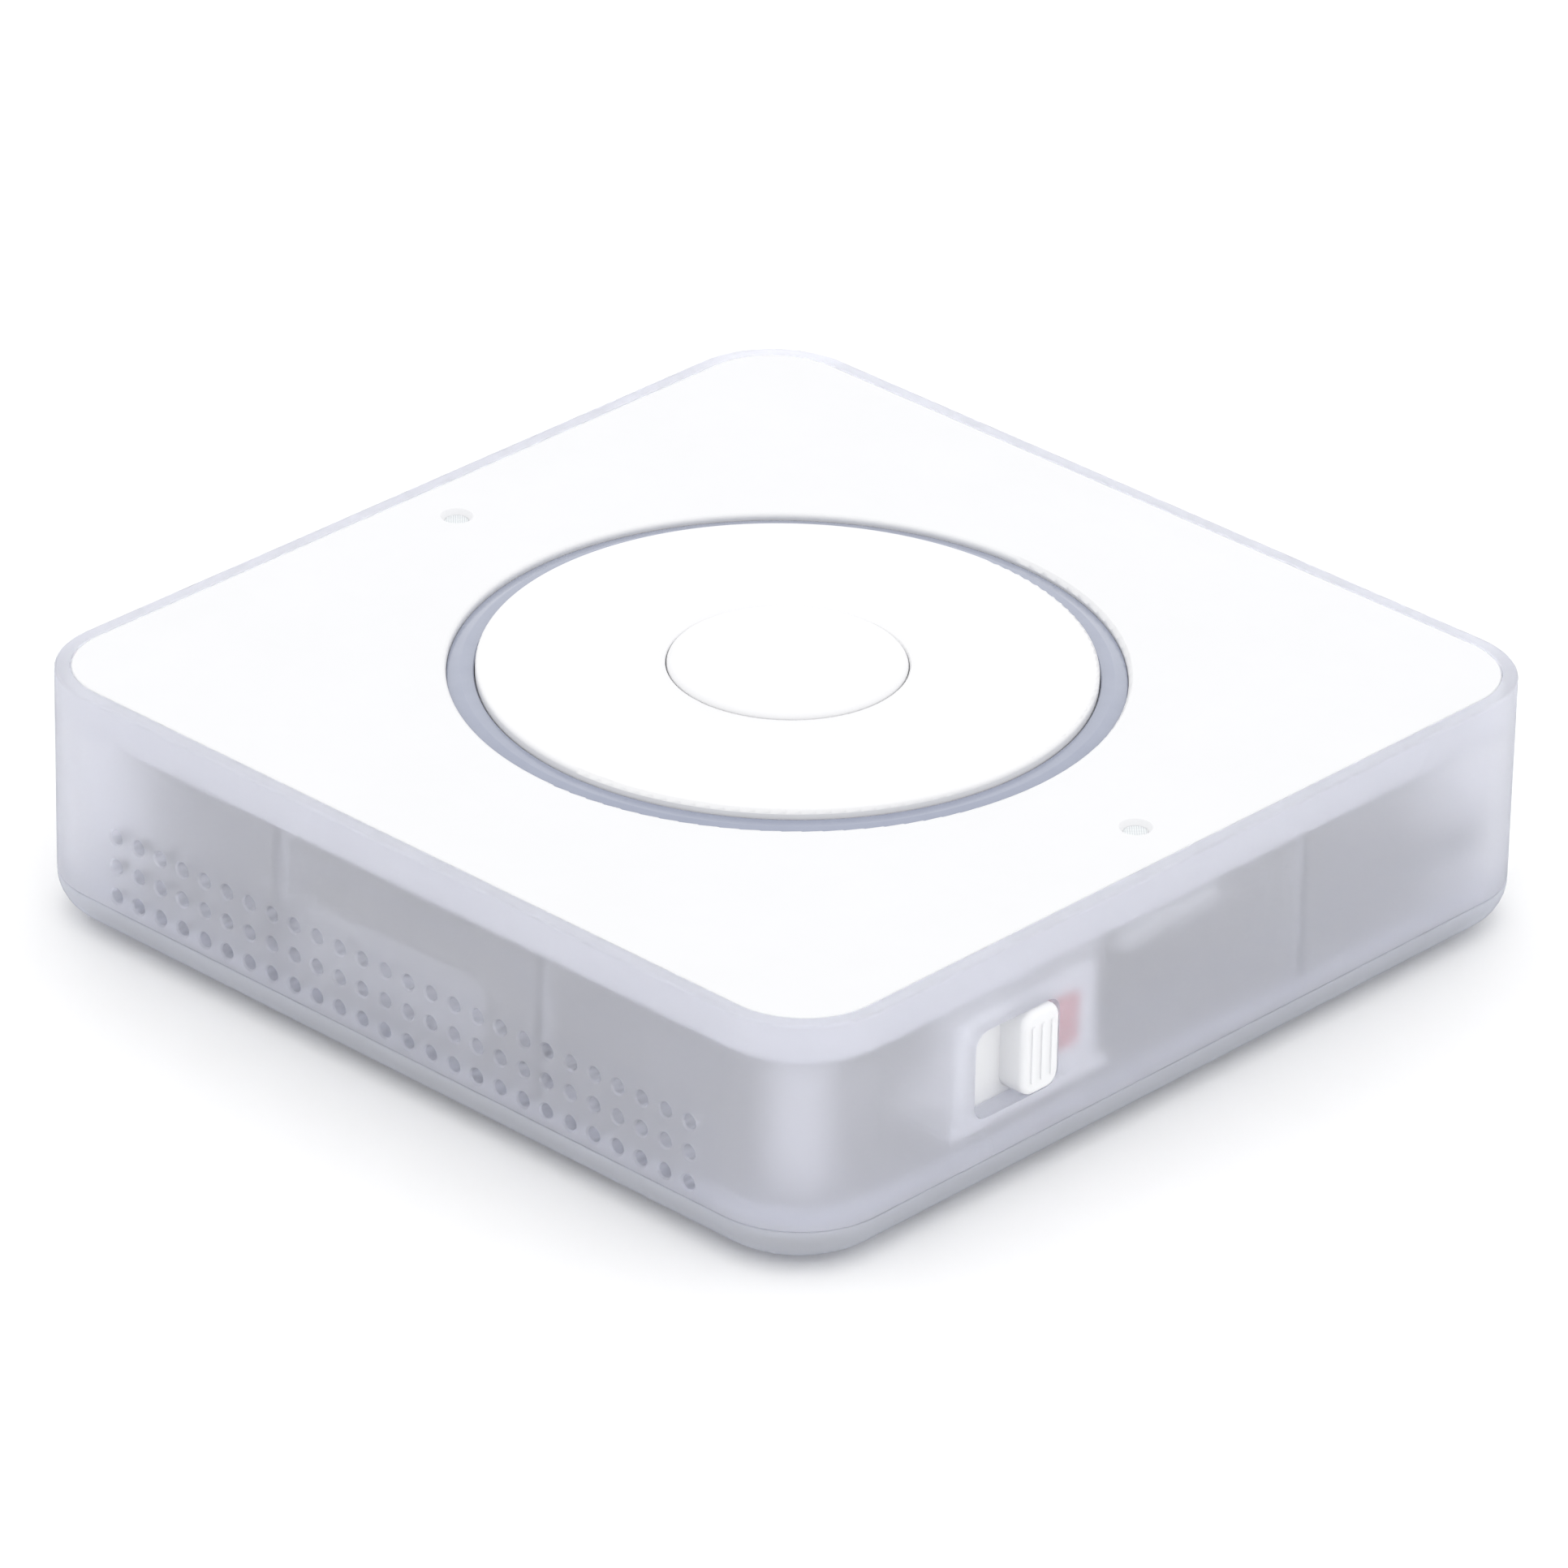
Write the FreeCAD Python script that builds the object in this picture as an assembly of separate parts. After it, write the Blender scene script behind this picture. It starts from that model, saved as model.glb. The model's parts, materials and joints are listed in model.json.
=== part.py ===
import FreeCAD, Part
import math
import os

# Desktop voice-assistant speaker: a square frosted puck with a turning dial, a centre button,
# a light ring, two microphone ports, a side mute switch and a front speaker grille.
# Millimetres.  +Z is up and the origin is on the table, under the middle of the object.
# -Y is the grille side, +X the mute switch side, +Y the socket side.

# ---- driving dimensions: the case ----
WIDTH = 84.0                # side of the square case, along X and along Y
BODY_H = 20.4               # case height, from the underside of the base to the rim
FOOT_STAND = 0.6            # how far the feet hold the case off the table
CORNER_R = 7.9              # upright corners of the case
BASE_ROUND = 2.95           # rolled bottom edge of the base cover
RIM_ROUND = 0.24            # softened top edge of the shell
PLATE_EDGE = 0.12           # softened top edge of the top cover
WALL = 1.7                  # shell wall below the ledge
RIM_WALL = 1.2              # shell wall above the ledge, beside the top cover
PLATE_GAP = 0.1             # shell to top cover
TOP_T = 1.5                 # thickness of the top cover's plate
SKIRT_DEPTH = 3.5           # top cover's skirt, measured down from the rim
SKIRT_T = 1.2
BASE_T = 1.6                # floor of the base cover
SEAM_ABOVE_ROUND = 0.2      # straight stretch between the rolled edge and the seam
SEAM_GAP = 0.04             # hairline between the shell and the base cover
SEAM_BEVEL = 0.06           # small bevel on both sides of the seam
LIP_T = 0.9                 # locating lip of the base, inside the shell
LIP_H = 0.7
FIT_GAP = 0.08              # parts that are pushed together and stay there
RUN_GAP = 0.05              # radial clearance of turning and sliding fits
THRUST_GAP = 0.1            # end clearance of turning and sliding fits
FREE_GAP = 0.3              # parts that pass each other without touching
SEAT_GAP = 0.02             # small parts set into each other
PORT_GAP = 0.2              # case opening around a socket, on each side
THREAD_GAP = 0.03           # moulded hole around a screw's thread
SCREW_CLEAR = 0.15          # clearance hole around a screw's shank or head
OVERLAP = 0.3               # joined blocks run this far into each other before they are fused
OVERCUT = 1.0               # cutting tools run this far past the face that they cut
SAME_PLACE = 1e-6           # lengths below which two points, levels or radii count as one
SAME_LEVEL = 1e-4
SAME_RADIUS = 1e-3

# ---- driving dimensions: ribs, posts, feet and case screws ----
RIB_SPAN = 28.0             # distance between the two ribs inside each wall
RIB_W = 0.6
RIB_DEPTH = 0.9
MUTE_SIDE = 1               # the mute switch's wall, counted from the grille's
POST_INSET = 8.0            # screw posts and feet, in from both faces
POST_R = 2.6
BOSS_R = 3.4                # base cover's boss under each post
BOSS_H = 1.4
SCREW_SHANK_R = 1.0
SCREW_HEAD_R = 1.9
SCREW_HEAD_H = 1.0
SCREW_BITE = 6.0            # how far a case screw runs into its post
SCREW_WELL = 1.5            # and the hole's depth past its tip
TIP_SHARE = 0.45            # tip's flat, as a share of the shank's radius
HEAD_ROUND_SHARE = 0.4      # head's rounding, as a share of its height
RECESS_DEPTH_SHARE = 0.5    # cross recess, as a share of the head's height
RECESS_W_SHARE = 0.3        # and of the head's radius
RECESS_L_SHARE = 1.2
FOOT_R = 4.0
FOOT_T = 1.2
FOOT_EDGE = 0.3

# ---- driving dimensions: dial, button and light ring ----
DIAL_R = 23.95
DIAL_EDGE = 0.35            # rounded top edge of the dial
DIAL_STAND = 0.42           # dial's top above the rim
DIAL_T = 1.6
DIAL_SKIRT_T = 1.1
DIAL_BORE_EDGE = 0.15
SPOKE_COUNT = 8
SPOKE_W = 1.0
SPOKE_DROP = 0.9            # spokes below the underside of the dial's cap
BUTTON_R = 9.3
BUTTON_GAP = 0.06           # ring gap between the button and the dial
BUTTON_STAND = 0.3          # button's top above the dial
BUTTON_T = 1.3
BUTTON_EDGE = 0.45
BUTTON_SKIRT_INSET = 0.4
BUTTON_SKIRT_T = 1.0
BUTTON_LIP = 0.3            # snap lip at the foot of the button's skirt
BUTTON_LIP_H = 1.0
BUTTON_RIB_COUNT = 4
BUTTON_RIB_W = 1.0
BUTTON_RIB_DROP = 1.6
STEM_R = 2.0
GUIDE_T = 0.95              # wall of the button's guide tube
SLEEVE_T = 1.2              # wall of the encoder rotor's sleeve
HUB_T = 1.5                 # wall of the dial's hub
RING_GAP = 0.07             # dial to light ring
RING_W = 2.1
RING_DROP = 0.3             # light ring's top below the rim
RING_BEVEL_W = 1.0          # wide, shallow bevel on the light ring's outer half
RING_BEVEL_H = 0.25
RING_EDGE = 0.1
HOLE_GAP = 0.05             # light ring to top cover
HOLE_EDGE = 0.35            # rounded lip of the round hole
ENCODER_H = 5.2
ENCODER_RIM = 5.0           # encoder body's wall around the sleeve
NOTCH_COUNT = 6
NOTCH_W = 3.0
NOTCH_DEPTH = 0.8
NOTCH_LIFT = 1.0            # notches start this far above the board
FLANGE_T = 1.0
FLANGE_W = 4.2
SNAP_LIP_W = 0.95           # rotor's snap lip under the encoder body
SNAP_LIP_T = 0.9
SNAP_POCKET_H = 1.5
TACT_SIDE = 6.2
TACT_CORNER = 0.4
TACT_H = 3.5
PLUNGER_R = 1.75
PLUNGER_STAND = 0.9         # plunger's top above its switch
PLUNGER_SINK = 2.5          # plunger's length inside its switch
PRESS_TRAVEL = 0.35         # button's travel
MUTE_TRAVEL = 4.5           # mute slider's travel

# ---- driving dimensions: light board and microphones ----
COLLAR_T = 0.9              # collar of the top cover around the light ring
COLLAR_H = 2.3
LIGHT_BOARD_T = 1.0
LIGHT_BOARD_INNER = 3.8     # light board's bore, inside the dial's radius
LIGHT_BOARD_OUTER = 2.4     # light board's rim, outside the round hole
LED_COUNT = 12
LED_SIDE = 1.6
LED_H = 0.8
LED_LENS_R = 0.56
LED_LENS_DEEP = 0.2
PEG_COUNT = 6
PEG_R = 0.5
PEG_TURN = 15.0             # first peg's angle, in degrees
MIC_INSET = 6.0             # microphone ports, in from the +X and -X faces
MIC_HOLE_R = 0.95           # recess that holds the acoustic mesh
MIC_SINK_R = 1.3            # dished mouth of the port
MIC_SINK_DEPTH = 0.4
MIC_PORT_R = 0.5            # sound hole under the mesh
MESH_T = 0.15
MESH_GAP = 0.02
MIC_GASKET_R = 1.6
MIC_CAN_X = 2.7
MIC_CAN_Y = 3.5
MIC_CAN_H = 1.0
MIC_CAN_EDGE = 0.15
MIC_EAR_HALF = 4.5
MIC_EAR_MARGIN = 0.5        # ear's end to the skirt
BOOT_HALF_Y = 5.5
BOOT_X = 5.6
BOOT_H = 2.2
BOOT_CORNER = 0.8
SMALL_SCREW_R = 0.75
SMALL_HEAD_R = 1.4
SMALL_HEAD_H = 0.9
SMALL_SCREW_BITE = 1.7
SMALL_SCREW_WELL = 0.4
SMALL_BOSS_R = 1.8
SMALL_BOSS_OUT = 3.25       # light board screws, outside the round hole
SCREW_EAR = 0.6             # light board around its screw bosses

# ---- driving dimensions: grille ----
GRILLE_HOLE_R = 0.6
GRILLE_SINK = 0.14          # bevel at each hole's mouth
GRILLE_PITCH_X = 2.44
GRILLE_PITCH_Z = 2.55
GRILLE_ROWS = 3
GRILLE_FIRST_ROW = 4.53     # lowest row above the underside of the base
GRILLE_MARGIN = 3.6         # first and last hole from the start of the corners

# ---- driving dimensions: mute switch ----
KNOB_W = 4.0
KNOB_H = 7.1
KNOB_STAND = 0.45           # knob's front outside the shell
KNOB_CORNER = 1.3
KNOB_BEVEL = 0.6
KNOB_RIBS = 3
KNOB_RIB_PITCH = 1.05
KNOB_RIB_W = 0.4
KNOB_RIB_H = 0.15
KNOB_RIB_LEN = 4.8
KNOB_END_GAP = 0.3          # knob to the slot's ends
KNOB_SIDE_GAP = 0.15        # knob to the slot's long sides
SLOT_CORNER = 1.3
SLOT_FROM_FRONT = 22.85     # slot's middle from the grille face
SLOT_ABOVE_MID = 0.5        # slot's middle above the middle of the bare wall
TONGUE_T = 1.2
TONGUE_CORNER = 0.8
TONGUE_LAP = 0.9            # slider covers the slot's ends by this much
TONGUE_LAP_Z = 0.6
PAD_W = 3.7                 # red pad of the slider
PAD_H = 4.6
PAD_T = 0.4
PAD_CORNER = 0.4
PAD_FROM_KNOB = 0.2
SWITCH_X = 3.6
SWITCH_Y = 9.6
SWITCH_H = 3.6
SWITCH_BACK = 1.2           # closed back of the slide switch
LEVER_W = 1.6
LEVER_H = 1.4
LEVER_REACH = 0.7           # lever's length inside the slider
BRACKET_T = 1.2
BRACKET_PAST = 1.3          # bracket's end past the slider
BRACKET_CLEAR = 0.75        # board's cut-out past the bracket's ends
SILL_T = 1.0
BRACKET_FOOT_X = 5.5
BRACKET_FOOT_Y = 3.0
BRACKET_FOOT_T = 1.0
BRACKET_PEG_R = 0.6

# ---- driving dimensions: main board and what stands on it ----
BOARD_LIFT = 4.8            # board's underside above the base floor
BOARD_T = 1.6
BOARD_MARGIN = 1.8          # board's edge to the shell
BOARD_CORNER = 2.0
BOARD_FRONT = 17.0          # board's front edge from the grille face
BOARD_POST_R = 2.4
BOARD_SCREW_BITE = 3.8
POST_CLEAR = 0.8            # board's cut-outs around the corner posts
RADIO_INSET = 1.5           # radio module's edge inside the board's
RADIO_Y0 = 6.5
RADIO_X = 18.0
RADIO_Y = 23.0
RADIO_T = 0.8
CAN_X = 15.8
CAN_Y = 17.2
CAN_H = 2.3
CAN_T = 0.2
CAN_EDGE = 0.4
CAN_FROM_END = 1.0
CHIP_BEVEL = 0.12
CAP_R = 1.9
CAP_H = 3.4
CAP_EDGE = 0.3
CAP_BASE_SIDE = 4.2
CAP_BASE_H = 0.7
CAP_BASE_CORNER = 0.5
INDUCTOR_X = -9.0
INDUCTOR_FROM_BACK = 12.0
INDUCTOR_SIDE = 4.4
INDUCTOR_H = 2.0
INDUCTOR_CORNER = 0.7
INDUCTOR_EDGE = 0.25
LINK_X = 11.0
LINK_Y = 2.6
LINK_END = 1.0
LINK_BACK = 1.0             # link's middle inside the middle of the light ring
LINK_WELL = 1.6
LINK_PIN_L = 1.5
LINK_PLUG_H = 2.0
LINK_PINS = 8
LINK_PIN = 0.5
USB_X = -10.0               # socket's middle along the back
USB_W = 8.94
USB_H = 3.26
USB_DEEP = 7.35
USB_CORNER = 1.28
USB_METAL = 0.3
USB_INSET = 0.5             # socket's mouth inside the back face
USB_TONGUE_W = 6.7
USB_TONGUE_T = 0.7
USB_TONGUE_L = 4.6
USB_TONGUE_EDGE = 0.2
USB_ROOT_W = 7.5
USB_ROOT_H = 1.8
USB_ROOT_L = 1.0
USB_BACK = 1.0              # closed back of the socket
JACK_X = 10.0
JACK_W = 6.4
JACK_H = 5.0
JACK_DEEP = 12.0
JACK_BORE_R = 1.8
JACK_BORE_L = 11.0
JACK_COLLAR = 5.0           # side of the square collar in the case opening
JACK_COLLAR_CORNER = 1.2
JACK_INSET = 0.4            # collar's mouth inside the back face
TERMINAL_T = 0.3
TERMINAL_W = 1.6
TERMINAL_H = 1.8
TERMINAL_FOOT = 1.05
TERMINAL_FOOT_T = 0.2
TERMINAL_PLACES = (3.0, 9.5)# terminals behind the jack's front
ACC_Y = -15.0               # accessory socket's middle along the -X side
ACC_W = 10.0
ACC_H = 5.0
ACC_DEEP = 8.0
ACC_WALL = 0.9
ACC_CORNER = 0.4
ACC_BACK = 1.5
ACC_KEY_W = 2.8
ACC_KEY_L = 4.5
ACC_PIN = 0.6
ACC_PIN_SINK = 2.5
ACC_INSET = 0.6
ACC_PINS = 4
ACC_PIN_PITCH = 2.0

# ---- driving dimensions: speaker ----
SPEAKER_W = 26.4
SPEAKER_CORNER = 1.2
SPEAKER_SEAT_GAP = 0.3      # speaker above the base lip
SPEAKER_TOP_GAP = 0.6       # speaker below the light board
DRIVER_T = 3.5
FRAME_BACK = 0.8
SPEAKER_RIM = 1.2
SURROUND_W = 1.2
SURROUND_T = 0.6
SURROUND_SINK = 0.4         # cone and surround behind the frame's face
CONE_DEPTH = 1.2
CONE_RIM = 0.8
CONE_T = 0.4
DUST_CAP_W = 13.2
DUST_CAP_SHARE = 0.45       # dust cap's height, as a share of the cone's
MAGNET_W = 14.0
MAGNET_MARGIN = 2.425       # speaker frame above and below the magnet
MAGNET_CORNER = 0.5
MAGNET_T = 2.5
CHAMBER_DEEP = 8.8
CHAMBER_WALL = 1.0
CHAMBER_SIDE_GAP = 1.4      # chamber's ends to the corner posts
CHAMBER_LAP = 1.5           # chamber's front wall behind the driver's rim
FELT_T = 0.8
FELT_LEFT = 11.3            # felt pad's reach from the middle, towards -X
FELT_RIGHT = 8.1
FELT_LOW = 0.3              # felt below and above the middles of the hole rows' gaps
FELT_HIGH = 0.6
CRADLE_T = 1.6
CRADLE_SPAN = 20.0
CRADLE_FRONT = 2.0
CRADLE_BACK = 1.0
LEAF_XS = (-3.0, -0.5)      # speaker's contact leaves
LEAF_W = 1.2
LEAF_T = 0.25
LEAF_H = 2.2
LEAF_PAD = 2.7
LEAF_FROM_EDGE = 0.3

# ---- levels and places worked out from the dimensions above ----
HALF = WIDTH / 2
Z_BASE = FOOT_STAND
Z_RIM = Z_BASE + BODY_H
Z_SEAM = Z_BASE + BASE_ROUND + SEAM_ABOVE_ROUND
Z_FLOOR = Z_BASE + BASE_T
Z_PLATE = Z_RIM - TOP_T
Z_SKIRT = Z_RIM - SKIRT_DEPTH
Z_BOARD_LOW = Z_FLOOR + BOARD_LIFT
Z_BOARD = Z_BOARD_LOW + BOARD_T
Z_LIGHT = Z_PLATE - COLLAR_H
Z_LIGHT_LOW = Z_LIGHT - LIGHT_BOARD_T
Z_DIAL = Z_RIM + DIAL_STAND
Z_DIAL_LOW = Z_DIAL - DIAL_T
Z_BUTTON = Z_DIAL + BUTTON_STAND
Z_RING_LOW = Z_LIGHT + LED_H + FREE_GAP
Z_ENCODER = Z_BOARD + ENCODER_H
Z_FLANGE = Z_ENCODER + THRUST_GAP + FLANGE_T
Z_BOSS = Z_FLOOR + BOSS_H
Z_TACT = Z_BOARD + TACT_H
Z_PLUNGER = Z_TACT + PLUNGER_STAND
Z_BUTTON_STOP = Z_PLUNGER + BUTTON_LIP_H
Z_SCREW_SEAT = FOOT_T + SCREW_HEAD_H + FIT_GAP
Z_GRILLE = Z_BASE + GRILLE_FIRST_ROW
Z_MESH = Z_RIM - MIC_SINK_DEPTH - MESH_T
Z_LINK = Z_LIGHT_LOW - LINK_PLUG_H
Z_USB = Z_BOARD + USB_H / 2
Z_JACK = Z_BOARD + JACK_H / 2
Z_ACC = Z_BOARD + ACC_H / 2

POST = HALF - POST_INSET
INNER = HALF - WALL
PLATE_INSET = RIM_WALL + PLATE_GAP
SKIRT_IN = PLATE_INSET + SKIRT_T
LIP_OUT = WALL + FIT_GAP
BASE_CAVITY = LIP_OUT + LIP_T
MIC = HALF - MIC_INSET
MIC_EAR_END = HALF - SKIRT_IN - MIC_EAR_MARGIN
USB_Y1 = HALF - USB_INSET
USB_Y0 = USB_Y1 - USB_DEEP + USB_BACK
JACK_Y1 = INNER - FREE_GAP
ACC_X0 = -(HALF - ACC_INSET)

RING_IN = DIAL_R + RING_GAP
RING_OUT = RING_IN + RING_W
RING_MID = (RING_IN + RING_OUT) / 2
HOLE_R = RING_OUT + HOLE_GAP
LINK_MID_Y = RING_MID - LINK_BACK
DIAL_BORE_R = BUTTON_R + BUTTON_GAP
SKIRT_R = BUTTON_R - BUTTON_SKIRT_INSET
GUIDE_IN = SKIRT_R + RUN_GAP
GUIDE_OUT = GUIDE_IN + GUIDE_T
SLEEVE_IN = GUIDE_OUT + FREE_GAP
SLEEVE_OUT = SLEEVE_IN + SLEEVE_T
ENCODER_BORE = SLEEVE_OUT + RUN_GAP
ENCODER_OUT = ENCODER_BORE + ENCODER_RIM

SLOT_L = KNOB_W + MUTE_TRAVEL + 2 * KNOB_END_GAP
SLOT_H = KNOB_H + 2 * KNOB_SIDE_GAP
SLOT_Y = -(HALF - SLOT_FROM_FRONT)
SLOT_Z = (Z_SEAM + Z_SKIRT) / 2 + SLOT_ABOVE_MID
SLOT_Y0 = SLOT_Y - SLOT_L / 2
SLOT_Y1 = SLOT_Y + SLOT_L / 2
KNOB_Y1 = SLOT_Y1 - KNOB_END_GAP
KNOB_Y = KNOB_Y1 - KNOB_W / 2
TONGUE_X1 = INNER - FREE_GAP
TONGUE_X0 = TONGUE_X1 - TONGUE_T
TONGUE_Y0 = SLOT_Y0 - TONGUE_LAP
TONGUE_Y1 = SLOT_Y1 + TONGUE_LAP + MUTE_TRAVEL
TONGUE_Z0 = SLOT_Z - SLOT_H / 2 - TONGUE_LAP_Z
TONGUE_Z1 = SLOT_Z + SLOT_H / 2 + TONGUE_LAP_Z
BRACKET_X1 = TONGUE_X0 - FREE_GAP
BRACKET_X0 = BRACKET_X1 - BRACKET_T
BRACKET_Y0 = TONGUE_Y0 - FREE_GAP
BRACKET_Y1 = TONGUE_Y1 + BRACKET_PAST
BRACKET_PEG_X = BRACKET_X0 - BRACKET_FOOT_X / 2
Z_SILL = TONGUE_Z0 - THRUST_GAP
Z_BRACKET_LOW = Z_SILL - SILL_T
SWITCH_X1 = BRACKET_X0 - FREE_GAP
SWITCH_MID_Y = KNOB_Y - MUTE_TRAVEL / 2
SWITCH_Y0 = SWITCH_MID_Y - SWITCH_Y / 2
BRACKET_PEG_YS = (SWITCH_Y0 - FREE_GAP - BRACKET_FOOT_Y / 2, BRACKET_Y1 - BRACKET_FOOT_Y / 2)
LEVER_Z = Z_BOARD + SWITCH_H / 2

BOARD_X = INNER - BOARD_MARGIN
BOARD_Y0 = -(HALF - BOARD_FRONT)
BOARD_Y1 = BOARD_X
RADIO_X0 = -(BOARD_X - RADIO_INSET)
BOARD_SCREWS = (
    (-(BOARD_X - 8.5), BOARD_Y0 + 4.5),
    (BOARD_X - 13.5, BOARD_Y0 + 4.5),
    (-15.5, BOARD_Y1 - 12.5),
    (BOARD_X - 10.5, BOARD_Y1 - 12.5),
)
# chips: middle x, middle y, side and height; capacitors: middle x and y
CHIPS = (
    (ENCODER_OUT + 5.55, 8.0, 7.0, 0.9),
    (ENCODER_OUT + 7.55, 18.0, 5.0, 0.9),
    (5.0, BOARD_Y0 + 4.0, 5.0, 0.9),
    (-8.0, BOARD_Y0 + 4.0, 3.0, 0.8),
    (ENCODER_OUT + 8.05, -6.5, 4.0, 0.8),
)
CAPACITORS = (
    (ENCODER_OUT + 13.55, 12.0),
    (ENCODER_OUT + 13.55, 17.5),
    (13.5, BOARD_Y0 + 4.0),
    (-15.5, BOARD_Y0 + 4.5),
)
CORNERS = ((POST, POST), (-POST, POST), (-POST, -POST), (POST, -POST))

SPEAKER_Y0 = -(INNER - FELT_T - THRUST_GAP)
DRIVER_Y1 = SPEAKER_Y0 + DRIVER_T
CHAMBER_Y1 = DRIVER_Y1 + CHAMBER_DEEP
CHAMBER_X = POST - POST_R - CHAMBER_SIDE_GAP
MAGNET_Y0 = DRIVER_Y1 - FRAME_BACK
CONE_Y0 = SPEAKER_Y0 + SURROUND_SINK
SPEAKER_Z0 = Z_SEAM + LIP_H + SPEAKER_SEAT_GAP
SPEAKER_Z1 = Z_LIGHT_LOW - SPEAKER_TOP_GAP
SPEAKER_H = SPEAKER_Z1 - SPEAKER_Z0
SPEAKER_Z = (SPEAKER_Z0 + SPEAKER_Z1) / 2

V = FreeCAD.Vector
ORIGIN = V(0, 0, 0)
X_AXIS = V(1, 0, 0)
Y_AXIS = V(0, 1, 0)
Z_AXIS = V(0, 0, 1)


# ---- small building blocks ----
def block(x0, x1, y0, y1, z0, z1):
    return Part.makeBox(x1 - x0, y1 - y0, z1 - z0, V(x0, y0, z0))


def upright(x, y, size_x, size_y, z0, z1):
    """Block that stands on z0 with its middle at x, y."""
    return block(x - size_x / 2, x + size_x / 2, y - size_y / 2, y + size_y / 2, z0, z1)


def disc(r, z0, z1, x=0.0, y=0.0):
    return Part.makeCylinder(r, z1 - z0, V(x, y, z0))


def tube(r_out, r_in, z0, z1):
    return disc(r_out, z0, z1).cut(disc(r_in, z0, z1))


def fuse(shapes):
    shapes = list(shapes)
    return shapes[0].multiFuse(shapes[1:]).removeSplitter()


def cut(shape, tools):
    return shape.cut(Part.makeCompound(list(tools)))


def turned_copies(shape, count, first=0.0):
    """Copies of a shape, evenly turned about the upright axis."""
    for i in range(count):
        copy = shape.copy()
        copy.rotate(ORIGIN, Z_AXIS, first + i * 360 / count)
        yield copy


def rounded_prism(hx, hy, r, z0, z1):
    """Upright prism on a rectangle with round corners, half sizes hx and hy."""
    a = r * (1 - math.sqrt(0.5))
    corners = [
        (V(hx, hy - r, z0), V(hx - a, hy - a, z0), V(hx - r, hy, z0)),
        (V(r - hx, hy, z0), V(a - hx, hy - a, z0), V(-hx, hy - r, z0)),
        (V(-hx, r - hy, z0), V(a - hx, a - hy, z0), V(r - hx, -hy, z0)),
        (V(hx - r, -hy, z0), V(hx - a, a - hy, z0), V(hx, r - hy, z0)),
    ]
    edges = []
    for i, (start, mid, end) in enumerate(corners):
        edges.append(Part.Arc(start, mid, end).toShape())
        following = corners[(i + 1) % len(corners)][0]
        if end.distanceToPoint(following) > SAME_PLACE:
            edges.append(Part.LineSegment(end, following).toShape())
    return Part.Face(Part.Wire(edges)).extrude(V(0, 0, z1 - z0))


def bar_x(y, z, w, h, r, x0, x1):
    """Rounded bar along X, w wide along Y and h tall, its middle at y, z."""
    bar = rounded_prism(w / 2, h / 2, r, x0, x1)
    bar.rotate(ORIGIN, V(1, 1, 1), 120)
    bar.translate(V(0, y, z))
    return bar


def bar_y(x, z, w, h, r, y0, y1):
    """Rounded bar along Y, w wide along X and h tall, its middle at x, z."""
    bar = rounded_prism(w / 2, h / 2, r, -y1, -y0)
    bar.rotate(ORIGIN, X_AXIS, 90)
    bar.translate(V(x, 0, z))
    return bar


def case_prism(inset, z0, z1):
    """Prism with the case's outline, moved in by inset."""
    return rounded_prism(HALF - inset, HALF - inset, CORNER_R - inset, z0, z1)


def case_ring(inset_out, inset_in, z0, z1):
    return case_prism(inset_out, z0, z1).cut(case_prism(inset_in, z0, z1))


def edges_at(shape, z):
    """Edges that lie flat at height z."""
    found = []
    for edge in shape.Edges:
        box = edge.BoundBox
        if abs(box.ZMin - z) < SAME_LEVEL and abs(box.ZMax - z) < SAME_LEVEL:
            found.append(edge)
    return found


def revolved(points):
    """Solid turned about Z from (radius, height) corners."""
    corners = [V(r, 0, z) for r, z in points]
    wire = Part.makePolygon(corners + corners[:1])
    return Part.Face(wire).revolve(ORIGIN, Z_AXIS, 360)


def round_edge(shape, r, z, size):
    """Rounds the circular edge of radius r at height z."""
    for edge in edges_at(shape, z):
        if abs(edge.BoundBox.XMax - r) < SAME_RADIUS:
            return shape.makeFillet(size, [edge])
    raise ValueError("no circular edge at that place")


def screw(x, y, z_seat, length, shank_r, head_r, head_h, up):
    """Pan-head screw: its head's flat is at z_seat and its shank points up or down."""
    side = 1 if up else -1
    along = V(0, 0, side)
    shank = Part.makeCylinder(shank_r, length, ORIGIN, along)
    tip = Part.makeCone(shank_r, shank_r * TIP_SHARE, shank_r, V(0, 0, side * length), along)
    head = Part.makeCylinder(head_r, head_h, V(0, 0, -side * head_h), along)
    head = head.makeFillet(head_h * HEAD_ROUND_SHARE, edges_at(head, -side * head_h))
    depth = head_h * RECESS_DEPTH_SHARE
    low = -head_h if up else head_h - depth
    long = head_r * RECESS_L_SHARE
    narrow = head_r * RECESS_W_SHARE
    cross = [upright(0, 0, x, y, low, low + depth) for x, y in ((long, narrow), (narrow, long))]
    body = cut(fuse([shank, tip, head]), cross)
    body.translate(V(x, y, z_seat))
    return body


# ---- case ----
def grille_places():
    flat = WIDTH - 2 * CORNER_R - 2 * GRILLE_MARGIN
    gaps = int(flat / GRILLE_PITCH_X + SAME_PLACE)
    for row in range(GRILLE_ROWS):
        z = Z_GRILLE + row * GRILLE_PITCH_Z
        for column in range(gaps + 1):
            yield (column - gaps / 2) * GRILLE_PITCH_X, z


def grille_hole(x, z):
    through = Part.makeCylinder(GRILLE_HOLE_R, WALL + 2 * OVERCUT, V(x, -HALF - OVERCUT, z), Y_AXIS)
    mouth_r = GRILLE_HOLE_R + GRILLE_SINK
    mouth = Part.makeCone(mouth_r, GRILLE_HOLE_R, GRILLE_SINK, V(x, -HALF, z), Y_AXIS)
    return through.fuse(mouth)


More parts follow.
